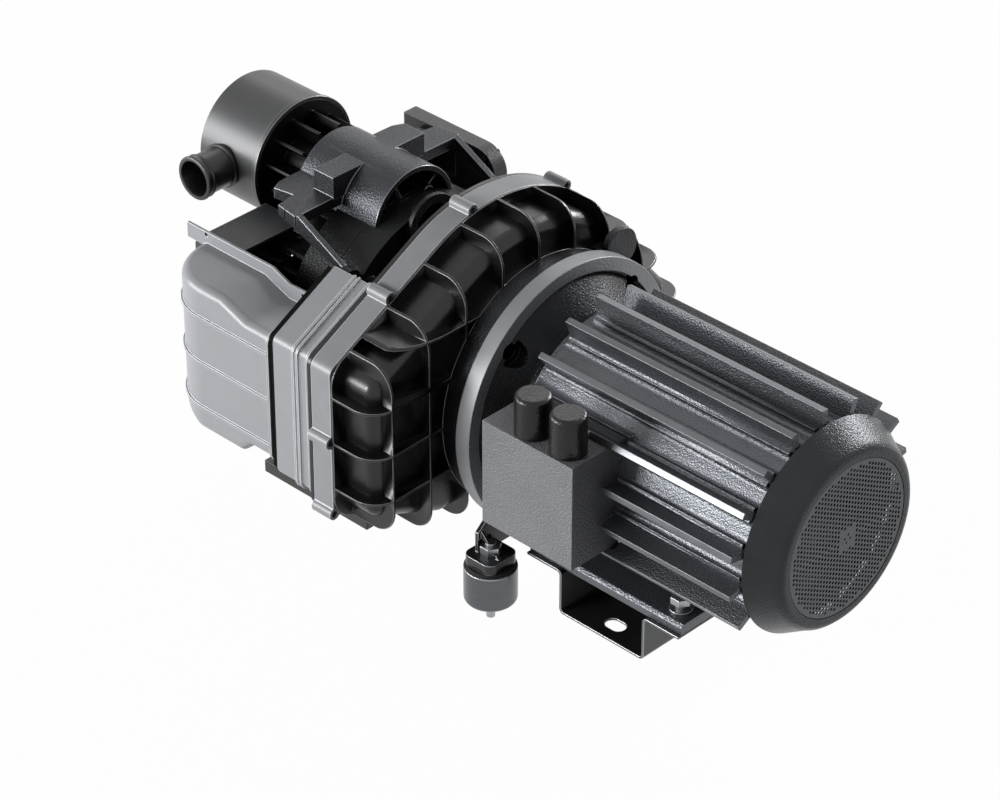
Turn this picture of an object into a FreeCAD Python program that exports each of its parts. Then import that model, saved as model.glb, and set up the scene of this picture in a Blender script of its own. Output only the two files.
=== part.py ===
import FreeCAD, Part
import math
import os
import Sketcher

# Scroll air compressor with its flange-mounted electric motor.
# Lengths are millimetres. The shaft runs along X, the motor's fan end points to +X and Z is up.
# Pieces are drawn about the shaft axis, with X = 0 on the motor flange's front face, and each
# piece is then placed so that the origin lies between the two base studs, on the base plane.

V = FreeCAD.Vector
doc = FreeCAD.newDocument("scroll_air_compressor")
sheet = doc.addObject("Spreadsheet::Sheet", "Sizes")

SIZES = [
    # Whole machine
    ("axis_height", 157, "shaft axis above the base plane"),
    ("mount_ahead", 11, "base studs ahead of the flange face"),
    ("mount_side", 110, "base studs out from the centre plane"),
    ("journal_gap", 0.05, "radial clearance of every running fit"),
    ("part_gap", 0.4, "clearance between pieces that pass each other"),
    # Motor flange and drive-end shield
    ("flange_radius", 125, "motor flange"),
    ("flange_thickness", 16, "motor flange"),
    ("flange_rim", 13, "raised rim at the flange's edge"),
    ("flange_step", 4, "height of the raised rim"),
    ("bolt_circle", 107.5, "radius of the flange bolt circle"),
    ("bolt_hole", 7.25, "radius of a flange bolt hole"),
    ("bolt_grip", 12, "flange bolts in the adapter"),
    ("pilot_radius", 90, "spigot that centres the motor"),
    ("pilot_length", 5, "spigot that centres the motor"),
    ("pilot_gap", 0.1, "radial fit of the spigot"),
    ("shield_foot", 110, "radius where the shield's cone starts"),
    ("shield_wall", 12, "wall of the shield's cone, across the shaft"),
    ("bearing_wall", 10, "wall round a motor bearing"),
    ("motor_bearing", 36, "outer radius of a motor bearing"),
    ("motor_bearing_width", 19, "width of a motor bearing"),
    ("motor_journal", 15, "radius of the motor shaft in its bearings"),
    # Motor frame
    ("barrel_radius", 88, "outside of the motor frame"),
    ("barrel_wall", 8, "wall of the motor frame"),
    ("barrel_start", 24, "frame's joint with the drive-end shield"),
    ("barrel_length", 252, "motor frame"),
    ("fin_height", 24, "cooling fins above the frame"),
    ("fin_thickness", 6, "cooling fin"),
    ("fin_start", 31, "front end of the fins"),
    ("fin_overhang", 5, "fins reach past the frame's rear joint"),
    ("fin_root_width", 14, "thick root of a fin"),
    ("fin_root_height", 5.5, "thick root above the frame"),
    ("fin_pitch", 20, "degrees between fins"),
    ("fin_first", -30, "degrees of the first fin, from +Y towards +Z"),
    # Rear shield, cowl and fan
    ("rear_shield_thickness", 8, "rear bearing shield"),
    ("rear_hub_reach", 22, "depth of the rear bearing hub"),
    ("cowl_gap", 2, "groove between frame and cowl"),
    ("cowl_flare", 10.6, "cowl's front edge above the frame"),
    ("cowl_draw", 2, "cowl's shoulder inside the frame's radius"),
    ("cowl_straight", 21, "length of the cowl's cone"),
    ("cowl_round", 8, "rounding of the cowl's end"),
    ("cowl_wall", 2.5, "sheet of the cowl"),
    ("grille_rim", 14, "plain rim between the cowl's shoulder and the grille"),
    ("grille_thickness", 2, "air inlet grille"),
    ("grille_hole", 4.2, "radius of a grille hole"),
    ("grille_pitch", 13, "spacing of the grille holes"),
    ("motor_fan_hub", 22, "hub radius of the motor's fan"),
    ("motor_fan_seat", 12, "shaft radius under the fan"),
    ("motor_fan_play", 2, "motor fan's tips inside the grille's edge"),
    ("motor_fan_width", 14, "blades of the motor's fan"),
    # Motor inside
    ("rotor_radius", 50, "rotor core"),
    ("rotor_seat", 19, "shaft radius under the rotor core"),
    ("air_gap", 0.6, "between rotor and stator"),
    ("stator_start", 60, "front end of rotor and stator cores"),
    ("stator_length", 160, "rotor and stator cores"),
    ("winding_gap", 4, "end windings from frame and rotor"),
    ("winding_length", 20, "end winding rings"),
    ("shaft_extension", 60, "motor shaft past the flange's back"),
    ("shaft_radius", 14, "motor shaft extension"),
    # Terminal box and glands
    ("box_front", 30.5, "terminal box, end nearer the flange"),
    ("box_length", 103.5, "terminal box along the shaft"),
    ("box_sink", 12, "terminal box seat inside the frame's radius"),
    ("box_depth", 64, "terminal box, out from its seat"),
    ("box_top", 52.5, "terminal box top above the axis"),
    ("box_height", 102.5, "terminal box"),
    ("box_wall", 4, "terminal box"),
    ("box_rim", 4, "cast pad that stands out round the box"),
    ("gland_radius", 16, "cable gland caps"),
    ("gland_height", 38, "cable gland caps"),
    ("gland_round", 4, "rounded top of a gland cap"),
    ("gland_first", 42.5, "first gland from the box's front end"),
    ("gland_spacing", 40, "between the glands"),
    ("gland_out", 47, "glands out from the box's seat"),
    ("gland_stem", 10, "threaded stem of a gland"),
    # Motor foot, bracket and bolts
    ("foot_drop", 14, "foot plate's top below the frame"),
    ("foot_thickness", 10, "foot plate"),
    ("foot_start", 29, "foot plate's front end"),
    ("foot_length", 175.5, "foot plate"),
    ("foot_half_width", 80, "foot plate"),
    ("pedestal_half_width", 45, "pedestal between frame and foot"),
    ("pedestal_inset", 16, "pedestal's ends from the foot's ends"),
    ("bracket_sheet", 2.5, "folded bracket"),
    ("bracket_half_width", 84, "folded bracket"),
    ("bracket_inset", 38.5, "bracket's legs from the foot's ends"),
    ("bracket_round", 3, "inner bend of the bracket"),
    ("slot_length", 20, "bracket's floor slots"),
    ("slot_width", 14, "bracket's floor slots"),
    ("slot_side", 65, "floor slots out from the centre plane"),
    ("foot_bolt_inset", 17, "foot bolts from the foot's ends"),
    ("foot_bolt_side", 62, "foot bolts out from the centre plane"),
    ("foot_bolt", 5, "radius of a foot bolt"),
    ("foot_bolt_lift", 7, "bare shank under a foot bolt's head"),
    ("bolt_head", 7, "height of a hexagon head"),
    ("nut_height", 8.4, "height of a hexagon nut"),
    ("hex_radius", 9.8, "corner radius of heads and nuts"),
    ("washer_radius", 10.5, "plain washers"),
    ("washer_thickness", 2, "plain washers"),
    ("bolt_gap", 0.5, "radial clearance of bolt holes"),
    # Vibration mounts
    ("cup_radius", 23.7, "steel cup of a vibration mount"),
    ("cup_height", 36, "steel cup of a vibration mount"),
    ("cup_wall", 2.2, "steel cup of a vibration mount"),
    ("cup_round", 5, "rounded bottom edge of the cup"),
    ("rubber_rise", 3, "rubber above the cup's rim"),
    ("stud_radius", 4, "base studs"),
    ("stud_neck", 5.5, "base stud inside the cup's floor"),
    ("upper_stud", 5, "radius of the studs under the mount nuts"),
    ("stud_reach", 18.5, "base studs below the cup"),
    ("tray_front", 28, "mount bracket's tray, front edge"),
    ("tray_back", -6, "mount bracket's tray, rear edge"),
    ("tray_half_width", 18, "mount bracket's tray"),
    ("tray_skirt", 10, "depth of the tray's skirt"),
    ("tray_round", 8, "tray's corner radius"),
    ("mount_sheet", 3, "sheet of the mount bracket"),
    ("ear_thickness", 4, "upright plate of the mount bracket"),
    ("ear_half_width", 20, "upright plate of the mount bracket"),
    ("ear_rise", 14, "upright plate above its bolt"),
    # Motor adapter and fan shroud
    ("adapter_radius", 118, "ring between motor flange and shroud"),
    ("adapter_length", 22, "ring between motor flange and shroud"),
    ("adapter_bore", 84, "ring between motor flange and shroud"),
    ("ear_radius", 19, "lifting ear on the adapter"),
    ("ear_length", 8, "lifting ear on the adapter"),
    ("shroud_depth", 52, "ribbed cover from band to ring boss"),
    ("shroud_round", 24, "rounded front edge of the ribs"),
    ("shroud_corner", 27, "corner radius of the ribbed cover"),
    ("skin_inset", 12, "skin inside the ribs' edges"),
    ("skin_wall", 3, "moulded cover"),
    ("rib_thickness", 2.4, "moulded ribs"),
    ("rib_pitch_across", 44, "between upright ribs"),
    ("rib_pitch_up", 46, "between level ribs"),
    ("crown_radius", 157, "shroud's arched top, about the shaft axis"),
    ("shroud_left", 199, "shroud's left side from the axis"),
    ("shroud_right", 192, "shroud's right side from the axis"),
    ("left_shoulder", 72, "top of the left side"),
    ("left_foot", 74, "bottom of the left side"),
    ("right_shoulder", 15, "top of the right side"),
    ("right_foot", 60, "bottom of the right side"),
    ("shroud_floor", 112, "shroud's underside below the axis"),
    ("floor_left", 110, "underside's left end"),
    ("floor_right", 140, "underside's right end"),
    ("band_width", 23.5, "plain band behind the ribbed cover"),
    ("band_wall", 6, "plain band behind the ribbed cover"),
    ("band_corner", 10, "band's corner radius"),
    ("wall_thickness", 4.5, "rear wall of the shroud"),
    ("wall_opening", 66, "radius of the rear wall's opening"),
    ("window_height", 110, "rear wall's window for the middle duct"),
    ("window_edge", 8, "window inside the middle duct's sides"),
    ("screw_radius", 6, "screw lugs round the band"),
    ("screw_hole", 3.2, "holes in the screw lugs"),
    # Side and rear ducts
    ("duct_wall", 3, "moulded ducts"),
    ("duct_out", 193, "middle duct's outer face"),
    ("duct_in", 118.5, "middle duct's inner face"),
    ("duct_foot", 69, "middle duct's lower edge outside"),
    ("duct_shoulder", 69, "middle duct's upper edge outside"),
    ("duct_length", 55, "middle duct along the shaft"),
    ("duct_round", 9, "rounded edges of the middle duct"),
    ("duct_groove", 4, "groove between middle duct and left cover"),
    ("duct_fall", 0.42, "slope of the middle duct's underside"),
    ("duct_climb", 0.53, "slope of the middle duct's top"),
    ("bead_spacing", 47, "between the left cover's level beads"),
    ("bead_height", 2, "raised beads on the ducts"),
    ("bead_width", 3, "raised beads on the ducts"),
    ("cover_out", 191, "left cover's outer face"),
    ("cover_in", 134, "inner faces of both covers"),
    ("cover_length", 144, "left cover along the shaft"),
    ("cover_top", 78, "left cover's upper edge"),
    ("cover_drop", 11, "step down to the cover's front part"),
    ("cover_foot", 73, "left cover's lower edge"),
    ("cover_flat", 3, "flat end beside the left cover's rounded rear corner"),
    ("cover_shoulder", 9, "left cover's rounded long edges"),
    ("strip_height", 15, "upright flange along the left cover"),
    ("strip_rear", 19, "flange past the cover's rear corner"),
    ("tray_length", 118, "right cover along the shaft"),
    ("tray_depth", 16, "right cover"),
    ("tray_top", 89, "right cover's upper edge"),
    ("tray_height", 162, "right cover"),
    ("box_duct_depth", 60, "rear duct along the shaft"),
    ("box_duct_step", 5, "rear duct's top below the covers' edge"),
    ("box_duct_chamfer", 14, "rear duct's top rear edge"),
    ("duct_gap", 4, "rear duct behind the fixed scroll's fins"),
    ("outlet_radius", 24, "hole for the discharge line"),
    # Crankcase
    ("case_radius", 115, "crankcase and fixed scroll"),
    ("case_rim", 12, "crankcase rim's wall"),
    ("case_thickness", 17, "crankcase's disc"),
    ("rim_depth", 13, "crankcase rim past the thrust face"),
    ("pillar_length", 52, "pillars from the shroud's wall to the disc"),
    ("pillar_radius", 9, "pillars from the shroud's wall to the disc"),
    ("pillar_circle", 100, "pillars from the shaft axis"),
    ("hub_radius", 50, "crankcase's bearing hub, front end"),
    ("hub_flare", 62, "crankcase's bearing hub at the disc"),
    ("hub_length", 45, "crankcase's bearing hub"),
    ("cavity_radius", 36, "space for the counterweight"),
    ("boss_ring_radius", 28.7, "ring boss on the crankcase's front"),
    ("boss_ring_bore", 20, "ring boss on the crankcase's front"),
    ("boss_ring_height", 99, "ring boss above the axis"),
    ("boss_ring_length", 4, "ring boss proud of the disc"),
    ("case_ear_out", 96, "gusset ears out from the centre plane"),
    ("case_ear_up", 84, "gusset ears above the axis"),
    # Crankshaft, bearings, fan
    ("crank_radius", 20, "crankshaft in its main bearing"),
    ("crank_socket", 24, "crankshaft's socket for the motor shaft"),
    ("socket_length", 54, "crankshaft's socket for the motor shaft"),
    ("orbit", 5, "radius of the scroll's orbit"),
    ("pin_radius", 12, "crankshaft's eccentric pin"),
    ("main_bearing_radius", 40, "main bearing"),
    ("main_bearing_width", 18, "main bearing"),
    ("seal_width", 5, "dust seal"),
    ("orbit_bearing_radius", 19, "bearing in the orbiting scroll"),
    ("orbit_bearing_width", 18, "bearing in the orbiting scroll"),
    ("boss_wall", 7, "orbiting scroll's boss"),
    ("weight_radius", 34, "counterweight"),
    ("weight_thickness", 9, "counterweight"),
    ("fan_radius", 92, "cooling fan"),
    ("fan_hub", 32, "cooling fan's hub"),
    ("fan_disc", 3, "cooling fan's back plate"),
    ("fan_clearance", 3, "cooling fan behind the shroud's skin"),
    ("blade_thickness", 2.5, "fan blades"),
    # Scrolls
    ("wrap_pitch", 18, "distance between turns of a wrap"),
    ("flank_gap", 0.3, "between the two wraps"),
    ("tip_clearance", 2, "bare wrap tip to the facing base"),
    ("seal_strip", 1.6, "width of a tip seal"),
    ("seal_play", 0.3, "tip seal to the facing base"),
    ("plate_radius", 96, "orbiting scroll's base plate"),
    ("plate_thickness", 8, "base plates of both scrolls"),
    ("thrust_gap", 1, "orbiting plate to the crankcase"),
    ("ring_wall", 14, "fixed scroll's outer wall"),
    ("ring_length", 30, "fixed scroll's outer wall"),
    ("scroll_fin", 28, "fixed scroll's cooling fins"),
    ("scroll_fin_thickness", 3, "fixed scroll's cooling fins"),
    ("scroll_fin_pitch", 14, "fixed scroll's cooling fins"),
    ("port_radius", 5, "central discharge port"),
    ("nipple_radius", 10, "discharge nipple"),
    ("nipple_length", 52, "discharge nipple"),
    ("intake_port", 9, "hole from the intake casting to the wraps"),
    # Pin cranks
    ("crank_circle", 78, "pin cranks from the shaft axis"),
    ("crank_journal", 6, "pin crank in the crankcase"),
    ("crank_pin", 5, "pin crank in the orbiting plate"),
    ("crank_web", 11, "pin crank's disc"),
    ("bush_wall", 3, "pin crank bushes"),
    ("bush_length", 11, "pin crank bushes"),
    # Intake casting and filter
    ("arch_axis", 96, "arch's axis above the shaft"),
    ("arch_radius", 48.5, "outside of the arch"),
    ("arch_wall", 5, "arch"),
    ("arch_length", 100, "arch along the shaft"),
    ("arch_side", 12, "straight sides below the arch's axis"),
    ("wing_top", 121, "wing plates' top above the axis"),
    ("wing_thickness", 11, "wing plates"),
    ("lug_rise", 20, "blocks on the wing plates"),
    ("neck_length", 41, "ribbed neck of the filter"),
    ("canister_radius", 58.5, "filter canister"),
    ("canister_length", 74, "filter canister"),
    ("canister_wall", 2, "filter canister"),
    ("filter_height", 98, "filter's axis above the shaft"),
    ("neck_radius", 26, "ribbed neck of the filter"),
    ("neck_wall", 6, "ribbed neck of the filter"),
    ("element_inner", 30, "pleated filter element"),
    ("element_outer", 48, "pleated filter element"),
    ("spigot_radius", 19, "filter's inlet spigot"),
    ("spigot_bore", 16.5, "filter's inlet spigot"),
    ("spigot_reach", 93, "spigot's mouth from the centre plane"),
    ("spigot_back", 44, "spigot behind the filter's end plate"),
    # Base rails
    ("rail_height", 12.5, "base rails"),
    ("rail_length", 133, "base rails"),
    ("rail_front", 138, "base rails' front end behind the flange face"),
    ("rail_out", 115, "base rails' outer edges"),
    ("rail_width", 26, "base rails"),
]


class Size:
    """A length together with the sheet formula that gives it."""

    def __init__(self, value, text):
        self.value = float(value)
        self.text = text

    def __float__(self):
        return self.value

    def __add__(self, other):
        other = as_size(other)
        return Size(self.value + other.value, "(%s + %s)" % (self.text, other.text))

    def __radd__(self, other):
        return as_size(other) + self

    def __sub__(self, other):
        other = as_size(other)
        return Size(self.value - other.value, "(%s - %s)" % (self.text, other.text))

    def __rsub__(self, other):
        return as_size(other) - self

    def __mul__(self, other):
        other = as_size(other)
        return Size(self.value * other.value, "(%s * %s)" % (self.text, other.text))

    __rmul__ = __mul__

    def __truediv__(self, other):
        other = as_size(other)
        return Size(self.value / other.value, "(%s / %s)" % (self.text, other.text))

    def __neg__(self):
        return 0 - self


def as_size(value):
    """A plain number or a Size, as a Size."""
    if isinstance(value, Size):
        return value
    return Size(value, "%.9g" % value)


class Table:
    """The sheet's sizes by name."""


s = Table()
for row, (word, number, note) in enumerate(SIZES, 1):
    sheet.set("A%d" % row, word)
    sheet.set("B%d" % row, str(number))
    sheet.set("C%d" % row, note)
    sheet.setAlias("B%d" % row, word)
    setattr(s, word, Size(number, "Sizes." + word))
doc.recompute()

TO_AXIS = {
    "X": FreeCAD.Rotation(V(0, 1, 0), 90),
    "Y": FreeCAD.Rotation(V(1, 0, 0), -90),
    "Z": FreeCAD.Rotation(),
}
ACROSS = {"X": "YZ_Plane", "Y": "XZ_Plane", "Z": "XY_Plane"}
pieces = []


def bind(item, prop, size):
    """Ties a property of a document object to the sheet."""
    item.setExpression(prop, as_size(size).text)


def put(item, x, y, z):
    """Ties a document object's place to the sheet."""
    bind(item, "Placement.Base.x", x)
    bind(item, "Placement.Base.y", y)
    bind(item, "Placement.Base.z", z)


def piece(name, item):
    """Names a finished sub-part and stands it on the base plane."""
    item.Label = name
    put(item, -s.mount_ahead, 0, s.axis_height)
    pieces.append(item)
    return item


def cylinder(axis, radius, start, end, at=(0, 0)):
    """A cylinder along an axis; at holds its two other coordinates, in X, Y, Z order."""
    item = doc.addObject("Part::Cylinder", "cylinder")
    item.Placement.Rotation = TO_AXIS[axis]
    place = list(at)
    place.insert("XYZ".index(axis), start)
    put(item, *place)
    bind(item, "Radius", radius)
    bind(item, "Height", end - start)
    return item


def cone(axis, radius_start, radius_end, start, end, at=(0, 0)):
    """A frustum along an axis."""
    item = doc.addObject("Part::Cone", "cone")
    item.Placement.Rotation = TO_AXIS[axis]
    place = list(at)
    place.insert("XYZ".index(axis), start)
    put(item, *place)
    bind(item, "Radius1", radius_start)
    bind(item, "Radius2", radius_end)
    bind(item, "Height", end - start)
    return item


def block(x, y, z):
    """A box between two planes on each axis."""
    item = doc.addObject("Part::Box", "block")
    put(item, x[0], y[0], z[0])
    bind(item, "Length", x[1] - x[0])
    bind(item, "Width", y[1] - y[0])
    bind(item, "Height", z[1] - z[0])
    return item


def polar(radius, degrees):
    """The Y and Z of a point at an angle about the shaft axis, from +Y towards +Z."""
    angle = math.radians(degrees)
    return radius * math.cos(angle), radius * math.sin(angle)


def radial_block(x, thickness, reach, degrees, centre=(0, 0)):
    """A flat bar that stands out from an axis along X, at an angle from +Y towards +Z."""
    item = doc.addObject("Part::Box", "bar")
    item.Placement.Rotation = FreeCAD.Rotation(V(1, 0, 0), degrees)
    out_y, out_z = polar(reach[0], degrees)
    side_y, side_z = polar(thickness / 2, degrees)
    put(item, x[0], centre[0] + out_y + side_z, centre[1] + out_z - side_y)
    bind(item, "Length", x[1] - x[0])
    bind(item, "Width", reach[1] - reach[0])
    bind(item, "Height", thickness)
    return item


def cut(base, *tools):
    """The base less each tool."""
    item = doc.addObject("Part::Cut", "cut")
    item.Base = base
    item.Tool = tools[0] if len(tools) == 1 else together(*tools)
    return item


def together(*items):
    """Several solids joined into one."""
    if len(items) == 1:
        return items[0]
    item = doc.addObject("Part::MultiFuse", "joined")
    item.Shapes = list(items)
    return item


def shared(*items):
    """The space that several solids share."""
    item = doc.addObject("Part::MultiCommon", "shared")
    item.Shapes = list(items)
    return item


def group(*items):
    """Several separate solids in one sub-part."""
    item = doc.addObject("Part::Compound", "group")
    item.Links = list(items)
    return item


def tube(axis, outer, inner, start, end, at=(0, 0)):
    """A plain ring or tube along an axis."""
    return cut(cylinder(axis, outer, start, end, at), cylinder(axis, inner, start, end, at))


def outline(body, axis, points):
    """A closed polygon in the body's plane across an axis, each corner tied to the sheet."""
    sketch = body.newObject("Sketcher::SketchObject", "outline")
    plane = next(item for item in body.Origin.OriginFeatures if item.Role == ACROSS[axis])
    sketch.AttachmentSupport = [(plane, "")]
    sketch.MapMode = "FlatFace"
    corners = [V(float(u), float(v), 0) for u, v in points]
    count = len(corners)
    for number, corner in enumerate(corners):
        sketch.addGeometry(Part.LineSegment(corner, corners[(number + 1) % count]), False)
    for number in range(count):
        sketch.addConstraint(Sketcher.Constraint("Coincident", number, 2, (number + 1) % count, 1))
    for number, (u, v) in enumerate(points):
        for kind, size in (("DistanceX", u), ("DistanceY", v)):
            index = sketch.addConstraint(Sketcher.Constraint(kind, -1, 1, number, 1, float(size)))
            bind(sketch, "Constraints[%d]" % index, size)
    return sketch


def turned(points):
    """A body turned about the shaft axis, from (X, radius) corners."""
    body = doc.addObject("PartDesign::Body", "turned")
    feature = body.newObject("PartDesign::Revolution", "turn")
    feature.Profile = outline(body, "Y", points)
    feature.ReferenceAxis = (feature.Profile[0], ["H_Axis"])
    feature.Angle = 360
    return body


def padded(axis, points, start, end):
    """A body padded along an axis, from corners in the plane across it."""
    body = doc.addObject("PartDesign::Body", "padded")
    sketch = outline(body, axis, points)
    bind(sketch, "AttachmentOffset.Base.z", -end if axis == "Y" else start)
    feature = body.newObject("PartDesign::Pad", "pad")
    feature.Profile = sketch
    bind(feature, "Length", end - start)
    return body


def rounded(base, radius, test):
    """Rounds the edges of a solid whose boxes pass a test."""
    doc.recompute()
    item = doc.addObject("Part::Fillet", "rounded")
    item.Base = base
    item.Edges = [
        (number, float(radius), float(radius))
        for number, edge in enumerate(base.Shape.Edges, 1)
        if test(edge.BoundBox)
    ]
    return item


def near(value, size, slack=0.05):
    """Whether a coordinate is at a size."""
    return abs(value - float(size)) < slack


def upright(box):
    """Whether an edge runs straight up."""
    return box.XLength < 0.01 and box.YLength < 0.01


def across(box, x, z):
    """Whether an edge runs across the shaft at a place."""
    return near(box.XMin, x) and near(box.XMax, x) and near(box.ZMin, z) and near(box.ZMax, z)


def hexagon(axis, radius, start, end, at):
    """A hexagonal prism along an axis."""
    item = doc.addObject("Part::Prism", "hexagon")
    item.Polygon = 6
    item.Placement.Rotation = TO_AXIS[axis]
    place = list(at)
    place.insert("XYZ".index(axis), start)
    put(item, *place)
    bind(item, "Circumradius", radius)
    bind(item, "Height", end - start)
    return item


def formed(shape):
    """A sub-part or tool whose shape is worked out by its own formula."""
    item = doc.addObject("Part::Feature", "formed")
    item.Shape = shape
    return item


# Stations along the shaft, from the motor flange back to the scroll's fins
flange_back = -s.flange_thickness
adapter_back = flange_back - s.adapter_length
band_front = adapter_back - s.shroud_depth
wall_front = band_front - s.band_width
wall_back = wall_front - s.wall_thickness
case_front = wall_back - s.pillar_length
thrust_face = case_front - s.case_thickness
case_end = thrust_face - s.rim_depth
ring_end = case_end - s.ring_length
base_end = ring_end - s.plate_thickness
fins_end = base_end - s.scroll_fin
barrel_end = s.barrel_start + s.barrel_length
rear_shield_end = barrel_end + s.rear_shield_thickness
corner_bolts = [polar(s.bolt_circle, degrees) for degrees in (45, 135, 225, 315)]

# Drive-end shield: a cast flange and cone that carries the front motor bearing
pilot_back = flange_back - s.pilot_length
barrel_inner = s.barrel_radius - s.barrel_wall
foot_top = s.barrel_radius + s.foot_drop
box_seat = s.barrel_radius - s.box_sink
cone_end = s.barrel_start - 4
bearing_back = as_size(0)
bearing_front = bearing_back + s.motor_bearing_width
hub_wall = s.motor_bearing + s.bearing_wall
shield = turned([
    (pilot_back, s.motor_journal + 1),
    (pilot_back, s.pilot_radius),
    (flange_back, s.pilot_radius),
    (flange_back, s.flange_radius),
    (0, s.flange_radius),
    (0, s.flange_radius - s.flange_rim),
    (-s.flange_step, s.flange_radius - s.flange_rim),
    (-s.flange_step, s.shield_foot),
    (cone_end, s.barrel_radius),
    (s.barrel_start, s.barrel_radius),
    (s.barrel_start, barrel_inner),
    (s.barrel_start - 10, barrel_inner),
    (-6, s.shield_foot - s.shield_wall * 1.5),
    (-6, hub_wall),
    (bearing_front + 3, hub_wall),
    (bearing_front + 3, s.motor_bearing),
    (bearing_back, s.motor_bearing),
    (bearing_back, s.motor_journal + 1),
])
holes = [cylinder("X", s.bolt_hole, flange_back - 1, s.barrel_start, at) for at in corner_bolts]
spot_radius = s.hex_radius + 3
spot_faces = [cylinder("X", spot_radius, 0, s.barrel_start + 4, at) for at in corner_bolts]
piece("drive_end_shield", cut(shield, *holes, *spot_faces))

# Motor frame: a cast barrel with long fins, a pad for the terminal box and a foot
fins_back = barrel_end + s.fin_overhang
frame = turned([
    (s.barrel_start, barrel_inner),
    (s.barrel_start, s.barrel_radius),
    (barrel_end, s.barrel_radius),
    (barrel_end, barrel_inner),
])
fin_foot = s.barrel_radius - s.barrel_wall / 2
fin_clear = s.barrel_radius + s.part_gap
fin_tip = s.barrel_radius + s.fin_height
fin_root_top = s.barrel_radius + s.fin_root_height
fins = []
box_back = s.box_front + s.box_length
for number in range(13):
    degrees = float(s.fin_first) + number * float(s.fin_pitch)
    along = (s.fin_start, barrel_end)
    past = (barrel_end, fins_back)
    fins.append(radial_block(along, s.fin_thickness, (fin_foot, fin_tip), degrees))
    fins.append(radial_block(past, s.fin_thickness, (fin_clear, fin_tip), degrees))
    fins.append(radial_block(along, s.fin_root_width, (fin_foot, fin_root_top), degrees))
pad_back = -box_seat
box_floor = s.box_top - s.box_height
box_ends = (s.box_front - s.box_rim, box_back + s.box_rim)
box_level = (box_floor - s.part_gap, s.box_top + s.part_gap)
box_space = block(box_ends, (pad_back - s.box_depth, pad_back), box_level)
pad = block(box_ends, (pad_back, pad_back + 16), (box_floor - 2, s.box_top + 2.5))
foot_end = s.foot_start + s.foot_length
foot_bottom = -foot_top - s.foot_thickness
pedestal = block(
    (s.foot_start + s.pedestal_inset, foot_end - s.pedestal_inset),
    (-s.pedestal_half_width, s.pedestal_half_width),
    (-foot_top, -s.barrel_radius * 0.7),
)
foot = padded("X", [
    (-s.foot_half_width, foot_bottom),
    (s.foot_half_width, foot_bottom),
    (s.foot_half_width, -foot_top - 3),
    (s.foot_half_width - 3, -foot_top),
    (-s.foot_half_width + 3, -foot_top),
    (-s.foot_half_width, -foot_top - 3),
], s.foot_start, foot_end)
foot_bolt_places = []
for x in (s.foot_start + s.foot_bolt_inset, foot_end - s.foot_bolt_inset):
    for y in (-s.foot_bolt_side, s.foot_bolt_side):
        foot_bolt_places.append((x, y))
bolt_holes = []
for at in foot_bolt_places:
    bolt_holes.append(cylinder("Z", s.foot_bolt + s.bolt_gap, foot_bottom - 1, -foot_top + 1, at))
bore = cylinder("X", barrel_inner, s.barrel_start - 1, barrel_end + 1)
outside = together(frame, cut(together(*fins), box_space), pad, pedestal)
piece("motor_frame", together(cut(outside, bore), cut(foot, *bolt_holes)))

# Rear shield and bearing
rear_hub_front = rear_shield_end - s.rear_hub_reach
rear_bearing_front = rear_shield_end - s.motor_bearing_width - 3
rear_shield = turned([
    (rear_hub_front, s.motor_bearing),
    (rear_hub_front, hub_wall),
    (barrel_end - 6, hub_wall),
    (barrel_end - 6, barrel_inner),
    (barrel_end, barrel_inner),
    (barrel_end, s.barrel_radius),
    (rear_shield_end, s.barrel_radius),
    (rear_shield_end, s.motor_journal + 1),
    (rear_shield_end - 3, s.motor_journal + 1),
    (rear_shield_end - 3, s.motor_bearing),
])
piece("rear_end_shield", rear_shield)
bearing_bore = s.motor_journal + s.journal_gap
piece("drive_end_bearing", tube("X", s.motor_bearing, bearing_bore, bearing_back, bearing_front))
piece("rear_bearing", tube("X", s.motor_bearing, bearing_bore, rear_bearing_front, rear_shield_end - 3))

# Fan cowl: a cast bell that is open at its flat end, where the grille sits
cowl_front = barrel_end + s.fin_overhang + s.cowl_gap / 2
cowl_bend = cowl_front + s.cowl_straight
cowl_end = cowl_bend + s.cowl_round
cowl_start = s.barrel_radius + s.cowl_flare
cowl_shoulder = s.barrel_radius - s.cowl_draw
grille_radius = cowl_shoulder - s.grille_rim
cowl_inner = s.cowl_wall
cowl = turned([
    (cowl_front, cowl_start - cowl_inner),
    (cowl_front, cowl_start),
    (cowl_bend, cowl_shoulder),
    (cowl_bend + s.cowl_round * 0.5, cowl_shoulder - s.cowl_round * 0.22),
    (cowl_bend + s.cowl_round * 0.87, cowl_shoulder - s.cowl_round * 0.62),
    (cowl_end, cowl_shoulder - s.cowl_round * 1.12),
    (cowl_end, grille_radius),
    (cowl_end - cowl_inner, grille_radius),
    (cowl_end - cowl_inner, cowl_shoulder - s.cowl_round * 1.12),
    (cowl_bend, cowl_shoulder - cowl_inner),
])
cowl_lugs = []
for degrees in (45, 135, 225, 315):
    reach = (barrel_inner - 1, cowl_shoulder - 1)
    cowl_lugs.append(radial_block((rear_shield_end, cowl_bend - 2), s.cowl_round, reach, degrees))
piece("fan_cowl", together(cowl, *cowl_lugs))

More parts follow.
